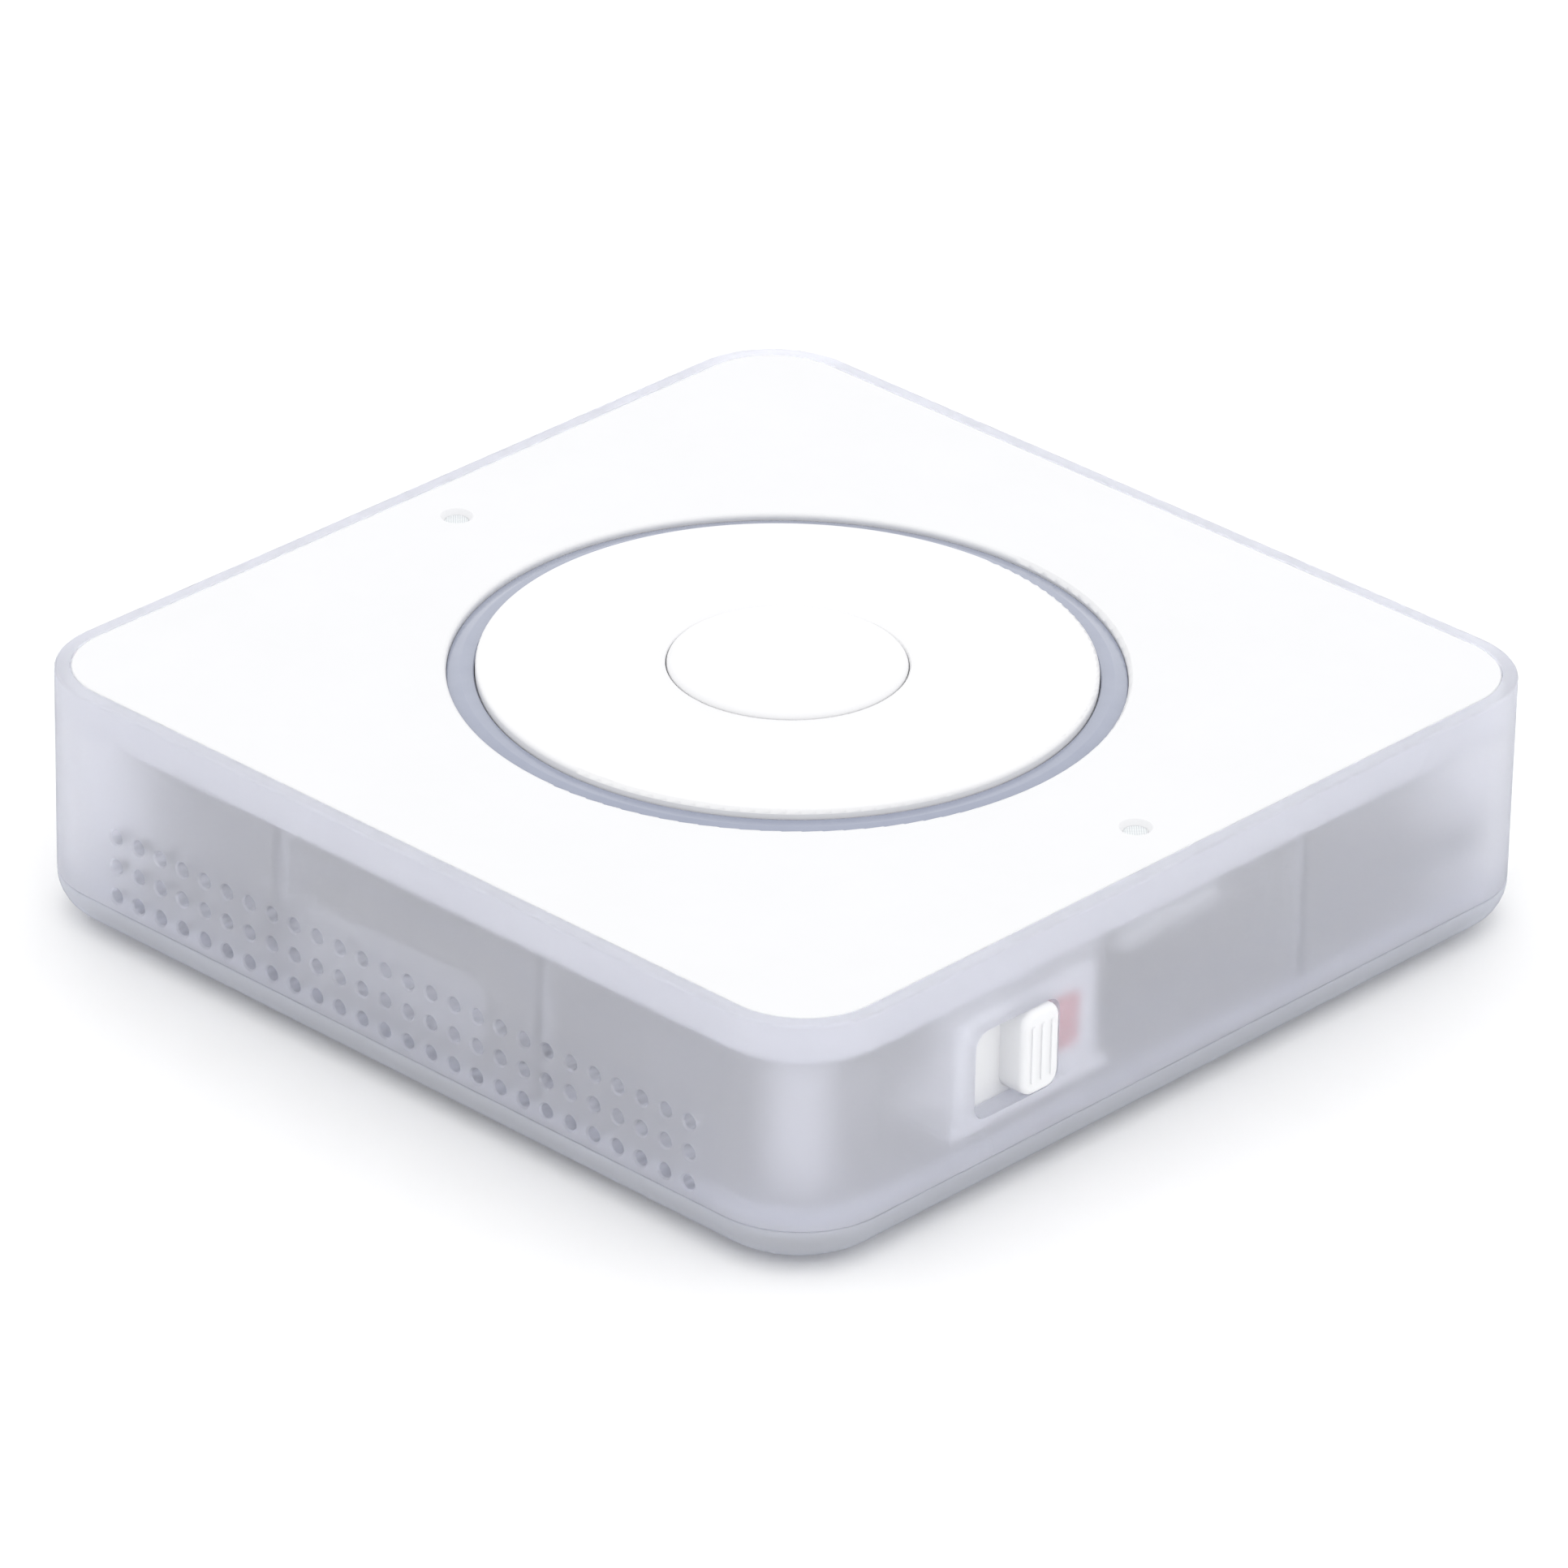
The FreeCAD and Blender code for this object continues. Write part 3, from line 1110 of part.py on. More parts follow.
def mute_slider():
    tongue = bar_x((TONGUE_Y0 + TONGUE_Y1) / 2, SLOT_Z, TONGUE_Y1 - TONGUE_Y0, TONGUE_Z1 - TONGUE_Z0,
                   TONGUE_CORNER, TONGUE_X0, TONGUE_X1)
    front = HALF + KNOB_STAND
    knob = bar_x(KNOB_Y, SLOT_Z, KNOB_W, KNOB_H, KNOB_CORNER, TONGUE_X1 - OVERLAP, front)
    knob = knob.makeFillet(KNOB_BEVEL, [e for e in knob.Edges if e.BoundBox.XMin > front - SAME_LEVEL])
    pieces = [tongue, knob]
    for i in range(KNOB_RIBS):
        y = KNOB_Y + (i - (KNOB_RIBS - 1) / 2) * KNOB_RIB_PITCH
        pieces.append(bar_x(y, SLOT_Z, KNOB_RIB_W, KNOB_RIB_LEN, KNOB_RIB_W / 2 - SAME_RADIUS,
                            front - OVERLAP, front + KNOB_RIB_H))
    recess = lever_bar(RUN_GAP, TONGUE_X0 - OVERCUT, TONGUE_X0 + LEVER_REACH + THRUST_GAP)
    return cut(fuse(pieces), [pad_bar(FIT_GAP / 2, TONGUE_X1 + OVERCUT), recess])


def mute_indicator():
    return pad_bar(0, TONGUE_X1)


def slide_switch_body():
    x0 = SWITCH_X1 - SWITCH_X
    body = block(x0, SWITCH_X1, SWITCH_Y0, SWITCH_Y0 + SWITCH_Y, Z_BOARD, Z_BOARD + SWITCH_H)
    return body.cut(lever_run(THRUST_GAP, x0 + SWITCH_BACK, SWITCH_X1 + OVERCUT))


def slide_switch_lever():
    return lever_bar(0, SWITCH_X1 - SWITCH_X + SWITCH_BACK + THRUST_GAP, TONGUE_X0 + LEVER_REACH)


def switch_bracket():
    """Upright plate behind the slider, with a sill under it and two feet on the board."""
    plate = block(BRACKET_X0, BRACKET_X1, BRACKET_Y0, BRACKET_Y1, Z_BRACKET_LOW, Z_SKIRT - FREE_GAP)
    sill = block(BRACKET_X0, TONGUE_X1, BRACKET_Y0, BRACKET_Y1, Z_BRACKET_LOW, Z_SILL)
    pieces = [plate, sill]
    for y in BRACKET_PEG_YS:
        pieces.append(block(BRACKET_X0 - BRACKET_FOOT_X, BRACKET_X0 + OVERLAP, y - BRACKET_FOOT_Y / 2,
                            y + BRACKET_FOOT_Y / 2, Z_BOARD, Z_BOARD + BRACKET_FOOT_T))
        pieces.append(disc(BRACKET_PEG_R, Z_BOARD_LOW, Z_BOARD + OVERLAP, BRACKET_PEG_X, y))
    return fuse(pieces).cut(lever_run(FREE_GAP, BRACKET_X0 - OVERCUT, BRACKET_X1 + OVERCUT))


NODES = (
    outer_shell, top_cover, base_cover, rubber_feet, case_screws,
    dial, encoder_rotor, encoder_body, centre_button, button_guide,
    tact_switch_body, tact_switch_plunger,
    light_ring, light_board, leds, light_board_screws, microphones, mic_meshes, mic_gaskets, mic_boots,
    main_board, board_screws, radio_board, radio_shield, board_chips, board_capacitors,
    power_inductor, board_link_socket, board_link_plug,
    usb_c_shell, usb_c_tongue, audio_jack_body, audio_jack_terminals,
    accessory_socket, accessory_pins,
    speaker_frame, speaker_surround, speaker_cone, speaker_magnet, speaker_chamber,
    speaker_contacts, speaker_felt,
    mute_slider, mute_indicator, slide_switch_body, slide_switch_lever, switch_bracket,
)

os.makedirs("parts", exist_ok=True)
for make in NODES:
    shape = make()
    assert shape.isValid(), make.__name__
    shape.exportStep("parts/" + make.__name__ + ".step")
    print(make.__name__, len(shape.Solids), round(shape.Volume, 2))
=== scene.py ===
import json
import math

import bmesh
import bpy
from mathutils import Matrix, Vector, noise as lattice


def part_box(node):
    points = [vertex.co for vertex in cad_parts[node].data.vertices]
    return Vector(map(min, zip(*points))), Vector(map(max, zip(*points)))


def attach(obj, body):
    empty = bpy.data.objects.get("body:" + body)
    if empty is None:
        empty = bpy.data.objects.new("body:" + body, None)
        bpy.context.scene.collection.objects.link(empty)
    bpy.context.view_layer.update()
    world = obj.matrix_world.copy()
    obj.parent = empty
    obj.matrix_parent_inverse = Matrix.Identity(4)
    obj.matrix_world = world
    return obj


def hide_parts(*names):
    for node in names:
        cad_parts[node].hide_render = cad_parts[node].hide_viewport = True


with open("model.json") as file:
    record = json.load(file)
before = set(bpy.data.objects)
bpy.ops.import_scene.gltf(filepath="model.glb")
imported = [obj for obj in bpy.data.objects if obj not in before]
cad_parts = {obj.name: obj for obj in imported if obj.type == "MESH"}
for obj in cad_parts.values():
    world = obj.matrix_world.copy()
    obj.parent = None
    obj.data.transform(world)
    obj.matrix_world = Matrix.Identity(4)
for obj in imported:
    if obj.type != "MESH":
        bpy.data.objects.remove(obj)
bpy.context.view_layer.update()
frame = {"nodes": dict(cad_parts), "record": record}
nodes = frame["nodes"]
MM = 0.001

# ---- the view and the light ----
VIEW_AZIMUTH = 43.21        # degrees, from the grille side towards the switch side
VIEW_ELEVATION = 28.1
VIEW_ROLL = 1.165
VIEW_DISTANCE = 0.8466      # metres
VIEW_AIM = Vector((-0.0004, 0.0003, 0.0106))
LENS = 252.03               # millimetres
SENSOR_WIDTH = 36           # millimetres
CLIP_START = 0.05
SKY = 1.3                   # even light from all round
KEY_POWER = 0.6             # overhead softbox
KEY_PLACE = (0.0, 0.1, 1.0)
KEY_SIZE = 1.0
FILL_POWER = 0.4            # softbox on the switch side
FILL_PLACE = (1.0, -0.1, 0.5)
FILL_SIZE = 0.7

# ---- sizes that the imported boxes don't give ----
SCREW_HEAD_R = 1.9 * MM     # the case screws stand over the middles of the feet
MIC_PORT_R = 0.5 * MM
MIC_CAN_X = 2.7 * MM
BOOT_X = 5.6 * MM
BOOT_GAP = 0.08 * MM        # boot to microphone
BOOT_EDGE = 0.5 * MM        # radius of the boot's outer edges
ROOM_CORNER = 0.2 * MM      # radius of the corners of the boot's room

# ---- mesh settings ----
MERGE_GAP = 0.002 * MM      # points closer than this become one
SHARP_ANGLE = 40            # degrees; edges sharper than this stay crisp
ROUND_STEPS = 72            # points round a small turned piece
WIDE_STEPS = 96             # points round the speaker's pieces
CORNER_STEPS = 5            # faces round a quarter corner
FLOOR_HALF = 1.5            # metres
FLOOR_COLOUR = (0.88, 0.88, 0.88)
FLOOR_CELLS = 8


# ---- node helpers ----
def new_material(name):
    """A material with one shader, and its node tree."""
    mat = bpy.data.materials.new(name)
    mat.use_nodes = True
    tree = mat.node_tree
    return mat, tree, tree.nodes["Principled BSDF"]


def place(tree):
    """The point on the piece, in its own coordinates."""
    return tree.nodes.new("ShaderNodeTexCoord").outputs["Object"]


def noise(tree, per_mm, detail=3.0, rough=0.55):
    """Noise between 0 and 1 with about per_mm bumps to a millimetre."""
    node = tree.nodes.new("ShaderNodeTexNoise")
    node.inputs["Scale"].default_value = per_mm / MM
    node.inputs["Detail"].default_value = detail
    node.inputs["Roughness"].default_value = rough
    tree.links.new(place(tree), node.inputs["Vector"])
    return node.outputs["Fac"]


def spread(tree, value, low, high):
    """Stretches a 0 to 1 value over low to high."""
    node = tree.nodes.new("ShaderNodeMapRange")
    node.inputs["From Min"].default_value = 0.3
    node.inputs["From Max"].default_value = 0.7
    node.inputs["To Min"].default_value = low
    node.inputs["To Max"].default_value = high
    tree.links.new(value, node.inputs["Value"])
    return node.outputs["Result"]


def tint(tree, value, dark, light):
    """Mixes two colours by a 0 to 1 value."""
    node = tree.nodes.new("ShaderNodeMix")
    node.data_type = "RGBA"
    node.inputs["A"].default_value = (*dark, 1)
    node.inputs["B"].default_value = (*light, 1)
    tree.links.new(value, node.inputs["Factor"])
    return node.outputs["Result"]


def bump(tree, shader, height, depth_mm):
    """Raises the surface by up to depth_mm where height is 1."""
    node = tree.nodes.new("ShaderNodeBump")
    node.inputs["Strength"].default_value = 1.0
    node.inputs["Distance"].default_value = depth_mm * MM
    tree.links.new(height, node.inputs["Height"])
    tree.links.new(node.outputs["Normal"], shader.inputs["Normal"])


def shades(colour, share):
    """A darker and a lighter neighbour of a colour."""
    return [c * (1 - share) for c in colour], [min(c * (1 + share), 1.0) for c in colour]


def moulded(name, colour, rough, grain_per_mm=7.0, grain_depth=0.004, mottle=0.03, ior=1.5):
    """Moulded plastic or rubber: faint cloudiness, uneven gloss and a fine spark-eroded grain."""
    mat, tree, shader = new_material(name)
    shader.inputs["IOR"].default_value = ior
    cloud = spread(tree, noise(tree, 0.12), 0.0, 1.0)
    tree.links.new(tint(tree, cloud, *shades(colour, mottle)), shader.inputs["Base Color"])
    tree.links.new(spread(tree, noise(tree, 0.5), rough * 0.9, rough * 1.1), shader.inputs["Roughness"])
    bump(tree, shader, noise(tree, grain_per_mm, 2.0), grain_depth)
    return mat


def metal(name, colour, rough, brush=(1.0, 1.0, 1.0), grain_per_mm=6.0, grain_depth=0.002):
    """Plated or rolled metal, brushed along the axis with the smallest brush number."""
    mat, tree, shader = new_material(name)
    shader.inputs["Metallic"].default_value = 1.0
    stretch = tree.nodes.new("ShaderNodeMapping")
    stretch.inputs["Scale"].default_value = brush
    tree.links.new(place(tree), stretch.inputs["Vector"])
    lines = tree.nodes.new("ShaderNodeTexNoise")
    lines.inputs["Scale"].default_value = grain_per_mm / MM
    lines.inputs["Detail"].default_value = 3.0
    tree.links.new(stretch.outputs["Vector"], lines.inputs["Vector"])
    stain = spread(tree, noise(tree, 0.3), 0.0, 1.0)
    tree.links.new(tint(tree, stain, *shades(colour, 0.07)), shader.inputs["Base Color"])
    tree.links.new(spread(tree, lines.outputs["Fac"], rough * 0.75, rough * 1.25), shader.inputs["Roughness"])
    bump(tree, shader, lines.outputs["Fac"], grain_depth)
    return mat


# ---- materials ----
def frosted(name, clear, dark, light):
    """Frosted translucent polycarbonate: what lies close behind it shows softly."""
    mat, tree, shader = new_material(name)
    shader.inputs["IOR"].default_value = 1.32
    shader.inputs["Transmission Weight"].default_value = clear
    shader.inputs["Sheen Weight"].default_value = 0.06
    shader.inputs["Sheen Roughness"].default_value = 0.5
    shader.inputs["Sheen Tint"].default_value = (0.65, 0.75, 1.0, 1.0)
    cloud = spread(tree, noise(tree, 0.1), 0.0, 1.0)
    tree.links.new(tint(tree, cloud, dark, light), shader.inputs["Base Color"])
    tree.links.new(spread(tree, noise(tree, 0.6), 0.58, 0.64), shader.inputs["Roughness"])
    bump(tree, shader, noise(tree, 9.0, 2.0), 0.004)
    return mat


def light_ring_plastic():
    """Polished smoke-blue diffuser with a faint haze inside."""
    mat, tree, shader = new_material("ring_plastic")
    shader.inputs["IOR"].default_value = 1.52
    shader.inputs["Coat Weight"].default_value = 0.6
    shader.inputs["Coat Roughness"].default_value = 0.04
    haze = spread(tree, noise(tree, 0.4), 0.0, 1.0)
    tree.links.new(tint(tree, haze, (0.25, 0.275, 0.36), (0.27, 0.295, 0.38)), shader.inputs["Base Color"])
    tree.links.new(spread(tree, noise(tree, 1.2), 0.14, 0.2), shader.inputs["Roughness"])
    bump(tree, shader, noise(tree, 1.5), 0.001)
    return mat


def laminate(name, mask, copper):
    """Circuit board: solder mask over a raised pattern of tracks."""
    mat, tree, shader = new_material(name)
    tracks = tree.nodes.new("ShaderNodeTexBrick")
    tracks.inputs["Scale"].default_value = 0.45 / MM
    tracks.inputs["Mortar Size"].default_value = 0.05
    tracks.inputs["Color1"].default_value = (*mask, 1)
    tracks.inputs["Color2"].default_value = (*[c * 1.2 for c in mask], 1)
    tracks.inputs["Mortar"].default_value = (*copper, 1)
    tree.links.new(place(tree), tracks.inputs["Vector"])
    tree.links.new(tracks.outputs["Color"], shader.inputs["Base Color"])
    tree.links.new(spread(tree, noise(tree, 0.8), 0.28, 0.4), shader.inputs["Roughness"])
    bump(tree, shader, tracks.outputs["Fac"], 0.03)
    return mat


def felt():
    """Pressed acoustic felt: short tangled fibres."""
    mat, tree, shader = new_material("pale_felt")
    shader.inputs["Sheen Weight"].default_value = 0.4
    shader.inputs["Roughness"].default_value = 0.95
    fibres = noise(tree, 3.5, 6.0, 0.75)
    tree.links.new(tint(tree, fibres, (0.15, 0.155, 0.175), (0.30, 0.31, 0.34)), shader.inputs["Base Color"])
    bump(tree, shader, fibres, 0.12)
    return mat


def cone_paper():
    """Coated paper of the speaker's cone."""
    mat, tree, shader = new_material("cone_paper")
    shader.inputs["Roughness"].default_value = 0.7
    fibres = noise(tree, 2.5, 5.0, 0.7)
    tree.links.new(tint(tree, fibres, (0.10, 0.10, 0.11), (0.22, 0.22, 0.23)), shader.inputs["Base Color"])
    bump(tree, shader, fibres, 0.03)
    return mat


def acoustic_mesh():
    """Fine woven mesh: threads over and under at eight to a millimetre."""
    mat, tree, shader = new_material("acoustic_mesh")
    shader.inputs["Roughness"].default_value = 0.6
    weave = tree.nodes.new("ShaderNodeTexChecker")
    weave.inputs["Scale"].default_value = 8.0 / MM
    tree.links.new(place(tree), weave.inputs["Vector"])
    thread = weave.outputs["Fac"]
    tree.links.new(tint(tree, thread, (0.58, 0.61, 0.63), (0.80, 0.82, 0.83)), shader.inputs["Base Color"])
    bump(tree, shader, thread, 0.02)
    return mat


def lamp():
    """White lamp body with clear resin in its cup."""
    mat, tree, shader = new_material("lamp_plastic")
    shader.inputs["Coat Weight"].default_value = 0.8
    shader.inputs["Coat Roughness"].default_value = 0.05
    cloud = spread(tree, noise(tree, 1.0), 0.0, 1.0)
    tree.links.new(tint(tree, cloud, (0.84, 0.84, 0.74), (0.90, 0.90, 0.82)), shader.inputs["Base Color"])
    tree.links.new(spread(tree, noise(tree, 2.0), 0.2, 0.3), shader.inputs["Roughness"])
    bump(tree, shader, noise(tree, 5.0), 0.002)
    return mat


MATERIALS = {
    "frosted_shell": frosted("frosted_shell", 0.80, (0.925, 0.932, 0.985), (0.94, 0.946, 0.995)),
    "white_cover": moulded("white_cover", (0.70, 0.702, 0.715), 0.42, mottle=0.006, grain_depth=0.002),
    "dial_plastic": moulded("dial_plastic", (0.72, 0.72, 0.73), 0.36, mottle=0.006, grain_depth=0.0015),
    "switch_plastic": moulded("switch_plastic", (0.78, 0.785, 0.80), 0.38, mottle=0.01, grain_depth=0.002),
    "ring_plastic": light_ring_plastic(),
    "red_plastic": moulded("red_plastic", (0.62, 0.03, 0.07), 0.4),
    "foot_rubber": moulded("foot_rubber", (0.055, 0.055, 0.06), 0.75, grain_per_mm=5.0, grain_depth=0.02,
                           mottle=0.15),
    "screw_steel": metal("screw_steel", (0.60, 0.60, 0.62), 0.3),
    "bearing_plastic": moulded("bearing_plastic", (0.72, 0.71, 0.66), 0.45),
    "black_plastic": moulded("black_plastic", (0.04, 0.044, 0.068), 0.5, grain_per_mm=5.0, grain_depth=0.01,
                             mottle=0.12),
    "board_laminate": laminate("board_laminate", (0.012, 0.02, 0.045), (0.03, 0.05, 0.09)),
    "module_laminate": laminate("module_laminate", (0.02, 0.035, 0.07), (0.05, 0.08, 0.12)),
    "lamp_plastic": lamp(),
    "shield_metal": metal("shield_metal", (0.72, 0.72, 0.73), 0.32, brush=(1.0, 0.08, 1.0)),
    "grey_silicone": moulded("grey_silicone", (0.28, 0.33, 0.30), 0.6),
    "pale_silicone": moulded("pale_silicone", (0.74, 0.75, 0.74), 0.6),
    "chip_plastic": moulded("chip_plastic", (0.035, 0.035, 0.04), 0.55, grain_per_mm=8.0, grain_depth=0.006,
                            mottle=0.1),
    "can_aluminium": metal("can_aluminium", (0.82, 0.82, 0.84), 0.26, brush=(1.0, 1.0, 0.1)),
    "inductor_ceramic": moulded("inductor_ceramic", (0.09, 0.09, 0.095), 0.65, grain_per_mm=6.0,
                                grain_depth=0.015, mottle=0.2),
    "contact_brass": metal("contact_brass", (0.86, 0.66, 0.30), 0.22),
    "surround_rubber": moulded("surround_rubber", (0.03, 0.03, 0.03), 0.65),
    "cone_paper": cone_paper(),
    "pale_felt": felt(),
    "acoustic_mesh": acoustic_mesh(),
}
# pieces whose finish differs a little from the rest of their slot; the base's frosted plastic is a darker,
# less clear copy of the shell's, as painted shade along the bottom of the case
OWN_MATERIALS = {
    "base_cover": frosted("frosted_base_painted_shade", 0.60, (0.81, 0.828, 0.895), (0.83, 0.847, 0.91)),
    "switch_bracket": moulded("bracket_plastic", (0.92, 0.92, 0.93), 0.4, mottle=0.01, grain_depth=0.002),
}


def dress_nodes():
    """Gives every CAD node the finish of its slot."""
    for part in frame["record"]["subparts"]:
        for slot in nodes[part["node"]].material_slots:
            slot.material = OWN_MATERIALS.get(part["node"], MATERIALS[part["material_slot"]])


# ---- mesh helpers ----
def finish_piece(name, shape, body, slot, *replaced):
    """Turns a bmesh into a piece that rides on a body and stands for its CAD nodes."""
    bmesh.ops.remove_doubles(shape, verts=shape.verts, dist=MERGE_GAP)
    bmesh.ops.recalc_face_normals(shape, faces=shape.faces)
    for face in shape.faces:
        face.smooth = True
    mesh = bpy.data.meshes.new(name)
    shape.to_mesh(mesh)
    shape.free()
    mesh.set_sharp_from_angle(angle=math.radians(SHARP_ANGLE))
    mesh.materials.append(MATERIALS[slot])
    piece = bpy.data.objects.new(name, mesh)
    bpy.context.scene.collection.objects.link(piece)
    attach(piece, body)
    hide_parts(*replaced)
    return piece


def ring_on_z(middle, straight, r, lift, steps):
    """Points round an upright axis, in metres; straight lengthens the ring along X."""
    for i in range(steps):
        a = 2 * math.pi * (i + 0.5) / steps
        shift = math.copysign(straight / 2, math.cos(a))
        yield middle + Vector((shift + r * math.cos(a), r * math.sin(a), lift))


def ring_on_y(middle, straight, r, lift, steps):
    """The same ring, round an axis along Y."""
    for x, y, z in ring_on_z(Vector(), straight, r, lift, steps):
        yield middle + Vector((x, z, y))


def turned(shape, ring, middle, profile, straight=0.0, closed=False, steps=ROUND_STEPS):
    """Adds a turned skin: profile is (radius, lift) from end to end, or round if closed."""
    loops = []
    for r, lift in profile:
        loops.append([shape.verts.new(p) for p in ring(middle, straight, r, lift, steps)])
    if closed:
        loops.append(loops[0])
    for low, high in zip(loops, loops[1:]):
        for i in range(steps):
            j = (i + 1) % steps
            shape.faces.new((low[i], low[j], high[j], high[i]))


def middle_of(low, high):
    """The middle of a box."""
    return (Vector(low) + Vector(high)) / 2


def size_of(low, high):
    """The size of a box along each axis."""
    return Vector(high) - Vector(low)


# ---- soft and moulded pieces ----
def feet():
    """Four rubber feet, each with a hollowed sole and two fine grooves."""
    low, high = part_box("rubber_feet")
    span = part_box("case_screws")[1][0] - SCREW_HEAD_R
    r = high[0] - span
    top = high[2]
    hollow = 0.25 * MM
    lip = 0.05 * MM
    groove = 0.12 * MM
    edge_low = 0.1 * MM
    edge_high = 0.3 * MM
    # from the middle of the sole outwards, then up the side
    profile = [(0, hollow), (0.42 * r, hollow), (0.50 * r, lip), (0.54 * r, 0), (0.64 * r, 0),
               (0.66 * r, groove), (0.69 * r, groove), (0.71 * r, 0), (0.79 * r, 0), (0.81 * r, groove),
               (0.84 * r, groove), (0.86 * r, 0), (0.93 * r, 0), (0.98 * r, edge_low), (r, edge_high),
               (r, top), (0, top)]
    shape = bmesh.new()
    for x in (-span, span):
        for y in (-span, span):
            turned(shape, ring_on_z, Vector((x, y, low[2])), profile)
    finish_piece("grip_feet", shape, "case", "foot_rubber", "rubber_feet")


def surround():
    """Half-roll rubber surround between the speaker's frame and its cone."""
    low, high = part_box("speaker_surround")
    size = size_of(low, high)
    inner = size_of(*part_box("speaker_cone")).z / 2
    outer = size.z / 2
    straight = size.x - size.z
    steps = 12
    skin = 0.14 * MM
    half = (outer - inner) / 2
    profile = []
    for depth, order in ((0.0, range(steps + 1)), (skin, range(steps, -1, -1))):
        for i in order:
            a = math.pi * i / steps
            roll = half - depth
            profile.append((inner + half + roll * math.cos(a), -roll * math.sin(a) * size.y / half))
    middle = middle_of(low, high)
    middle.y = high[1]
    shape = bmesh.new()
    turned(shape, ring_on_y, middle, profile, straight, closed=True, steps=WIDE_STEPS)
    finish_piece("roll_surround", shape, "case", "surround_rubber", "speaker_surround")


def cone():
    """Dished paper cone with a domed dust cap."""
    low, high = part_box("speaker_cone")
    size = size_of(low, high)
    r = size.z / 2
    straight = size.x - size.z
    deep = size.y
    skin = 0.18 * MM
    cap_r = 0.44 * r            # dust cap
    cap_foot = 0.52 * deep
    cap_rise = 0.3 * deep
    cap_steps = 8
    dome = []
    for i in range(cap_steps + 1):
        a = math.pi / 2 * i / cap_steps
        dome.append((cap_r * math.sin(a), cap_foot - cap_rise * math.cos(a)))
    # the front face from the dust cap out to the rim, then the back face inwards
    front = dome + [(0.47 * r, deep * 0.62), (0.70 * r, deep * 0.42), (0.90 * r, deep * 0.14),
                    (0.96 * r, 0.0)]
    back = [(r, 0.0), (r, skin), (0.90 * r, deep * 0.14 + skin), (0.70 * r, deep * 0.42 + skin),
            (0.46 * r, deep * 0.80), (cap_r, deep), (0.0, deep)]
    middle = middle_of(low, high)
    middle.y = low[1]
    shape = bmesh.new()
    turned(shape, ring_on_y, middle, front + back, straight, steps=WIDE_STEPS)
    finish_piece("dished_cone", shape, "case", "cone_paper", "speaker_cone")


def gaskets():
    """Soft ring gaskets between the microphone ports and the light board."""
    low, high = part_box("mic_gaskets")
    size = size_of(low, high)
    r = size.y / 2
    tall = size.z
    groove = 0.15 * MM
    profile = [(MIC_PORT_R, 0), (r - groove, 0), (r, groove), (r, tall * 0.4), (r - groove, tall * 0.5),
               (r, tall * 0.6), (r, tall - groove), (r - groove, tall), (MIC_PORT_R, tall)]
    shape = bmesh.new()
    for x in (low[0] + r, high[0] - r):
        turned(shape, ring_on_z, Vector((x, 0, low[2])), profile, closed=True)
    finish_piece("ring_gaskets", shape, "case", "grey_silicone", "mic_gaskets")


def boots():
    """Moulded silicone boots around the microphones, open above."""
    low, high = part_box("mic_boots")
    can_low, can_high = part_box("microphones")
    gap = BOOT_GAP
    x_out = high[0]
    room_x0 = can_high[0] - MIC_CAN_X - gap
    room_x1 = can_high[0] + gap
    for side, name in ((-1, "left_boot"), (1, "right_boot")):
        shape = bmesh.new()
        outer = soft_box(shape, (x_out - BOOT_X, low[1], low[2]), (x_out, high[1], high[2]), BOOT_EDGE)
        cut_room(shape, outer, (room_x0, can_low[1] - gap), (room_x1, can_high[1] + gap), high[2],
                 can_low[2] - gap)
        for vert in shape.verts:
            vert.co.x *= side
        replaced = ["mic_boots"] if side > 0 else []
        finish_piece(name, shape, "case", "pale_silicone", *replaced)


def soft_box(shape, low, high, edge):
    """Box with rounded lower and upright edges and a flat top; gives back its top's corners."""
    (x0, y0, z0), (x1, y1, z1) = low, high
    loops = []
    for k in range(CORNER_STEPS + 1):
        a = math.pi / 2 * k / CORNER_STEPS
        inset = edge * (1 - math.sin(a))
        z = z0 + edge * (1 - math.cos(a))
        loops.append(corner_ring(shape, x0 + inset, x1 - inset, y0 + inset, y1 - inset, z, edge))
    loops.append(corner_ring(shape, x0, x1, y0, y1, z1, edge))
    for lower, upper in zip(loops, loops[1:]):
        bridge(shape, lower, upper)
    shape.faces.new(loops[0][::-1])
    return loops[-1]


def corner_ring(shape, x0, x1, y0, y1, z, r):
    """Ring of points on a rectangle with round corners."""
    points = []
    for turn, (cx, cy) in enumerate(((x1 - r, y1 - r), (x0 + r, y1 - r), (x0 + r, y0 + r), (x1 - r, y0 + r))):
        for k in range(CORNER_STEPS + 1):
            a = math.pi / 2 * (turn + k / CORNER_STEPS)
            points.append(shape.verts.new((cx + r * math.cos(a), cy + r * math.sin(a), z)))
    return points


def bridge(shape, lower, upper):
    """Joins two rings of the same length with faces."""
    for i in range(len(lower)):
        j = (i + 1) % len(lower)
        shape.faces.new((lower[i], lower[j], upper[j], upper[i]))


def cut_room(shape, rim, low, high, top, floor):
    """Joins an outer rim to a rounded room that goes down from it."""
    (x0, y0), (x1, y1) = low, high
    mouth = corner_ring(shape, x0, x1, y0, y1, top, ROOM_CORNER)
    base = corner_ring(shape, x0, x1, y0, y1, floor, ROOM_CORNER)
    bridge(shape, rim, mouth)
    bridge(shape, mouth, base)
    shape.faces.new(base)


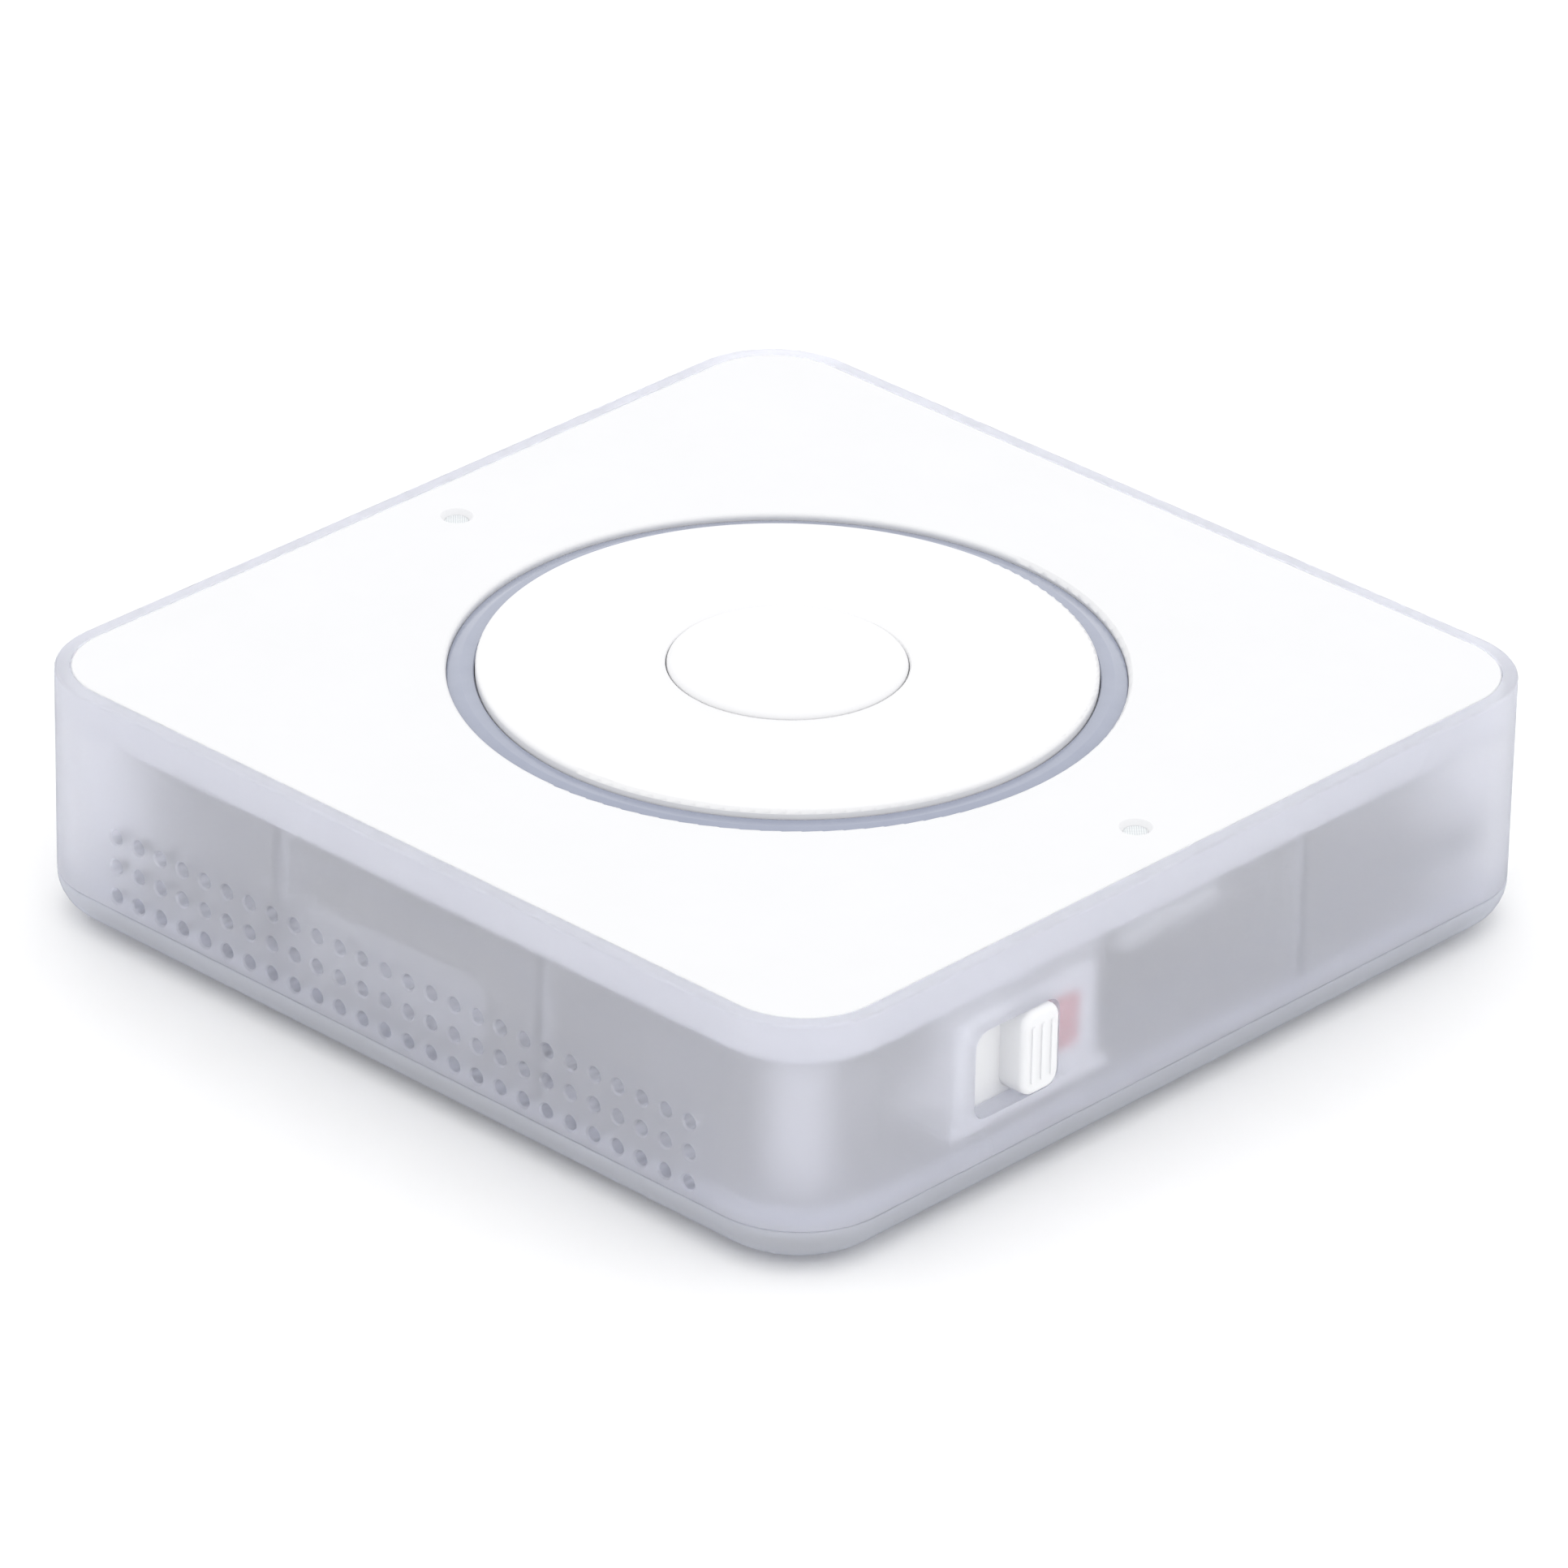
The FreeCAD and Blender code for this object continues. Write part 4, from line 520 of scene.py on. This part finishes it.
def felt_pad():
    """Pressed felt pad behind the grille: soft edges, a thin rim and a little uneven."""
    low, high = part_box("speaker_felt")
    size = size_of(low, high)
    across = 97                 # points along each side
    up = 31
    edge = 0.45 * MM
    rim = 0.3                   # the rim's share of the full thickness
    lumps_per_metre = 900
    hollow = 0.12               # how far a hollow goes in, as a share of the thickness
    shape = bmesh.new()
    sheets = []
    for face in (-1, 1):
        rows = []
        for k in range(up):
            row = []
            for i in range(across):
                x = size.x * i / (across - 1)
                z = size.z * k / (up - 1)
                from_edge = min(x, size.x - x, z, size.z - z)
                soft = min(from_edge / edge, 1.0)
                half = size.y / 2 * (rim + (1 - rim) * math.sqrt(1 - (1 - soft) ** 2))
                lump = lattice.noise(Vector((x, z, face * MM)) * lumps_per_metre) * 0.5 + 0.5
                half *= 1 - hollow * lump
                y = (low[1] + high[1]) / 2 + face * half
                row.append(shape.verts.new((low[0] + x, y, low[2] + z)))
            rows.append(row)
        sheets.append(rows)
    for rows in sheets:
        for k in range(up - 1):
            for i in range(across - 1):
                shape.faces.new((rows[k][i], rows[k][i + 1], rows[k + 1][i + 1], rows[k + 1][i]))
    border = [(0, i) for i in range(across - 1)] + [(k, across - 1) for k in range(up - 1)]
    border += [(up - 1, i) for i in range(across - 1, 0, -1)] + [(k, 0) for k in range(up - 1, 0, -1)]
    bridge(shape, *[[rows[k][i] for k, i in border] for rows in sheets])
    pad = finish_piece("felt_pad", shape, "case", "pale_felt", "speaker_felt")


# ---- stage ----
def build_floor():
    """A plain pale floor under the object."""
    mesh = bpy.data.meshes.new("floor")
    shape = bmesh.new()
    bmesh.ops.create_grid(shape, x_segments=FLOOR_CELLS, y_segments=FLOOR_CELLS, size=FLOOR_HALF)
    shape.to_mesh(mesh)
    shape.free()
    floor = bpy.data.objects.new("floor", mesh)
    bpy.context.scene.collection.objects.link(floor)
    floor.data.materials.append(moulded("floor_paper", FLOOR_COLOUR, 0.9, grain_per_mm=2.0, grain_depth=0.002,
                                        mottle=0.002))


def softbox(name, where, size, power):
    """A square area light that faces the object."""
    lamp_data = bpy.data.lights.new(name, "AREA")
    lamp_data.shape = "SQUARE"
    lamp_data.size = size
    lamp_data.energy = power
    light = bpy.data.objects.new(name, lamp_data)
    light.location = where
    light.rotation_euler = (VIEW_AIM - Vector(where)).to_track_quat("-Z", "Y").to_euler()
    bpy.context.scene.collection.objects.link(light)


def build_light():
    """Even sky light and two softboxes."""
    world = bpy.data.worlds.new("studio")
    world.use_nodes = True
    sky = world.node_tree.nodes["Background"]
    sky.inputs["Color"].default_value = (1, 1, 1, 1)
    sky.inputs["Strength"].default_value = SKY
    bpy.context.scene.world = world
    softbox("key_softbox", KEY_PLACE, KEY_SIZE, KEY_POWER)
    softbox("fill_softbox", FILL_PLACE, FILL_SIZE, FILL_POWER)
    bpy.context.scene.view_settings.view_transform = "Standard"


def build_camera():
    """The camera, at the viewing angle given above."""
    azimuth = math.radians(VIEW_AZIMUTH)
    elevation = math.radians(VIEW_ELEVATION)
    back = Vector((math.sin(azimuth) * math.cos(elevation), -math.cos(azimuth) * math.cos(elevation),
                   math.sin(elevation)))
    turn = back.to_track_quat("Z", "Y").to_matrix()
    turn = turn @ Matrix.Rotation(math.radians(VIEW_ROLL), 3, "Z")
    data = bpy.data.cameras.new("camera")
    data.lens = LENS
    data.sensor_width = SENSOR_WIDTH
    data.clip_start = CLIP_START
    camera = bpy.data.objects.new("camera", data)
    camera.matrix_world = Matrix.Translation(VIEW_AIM + back * VIEW_DISTANCE) @ turn.to_4x4()
    bpy.context.scene.collection.objects.link(camera)
    bpy.context.scene.camera = camera


dress_nodes()
feet()
surround()
cone()
gaskets()
boots()
felt_pad()
build_floor()
build_light()
build_camera()
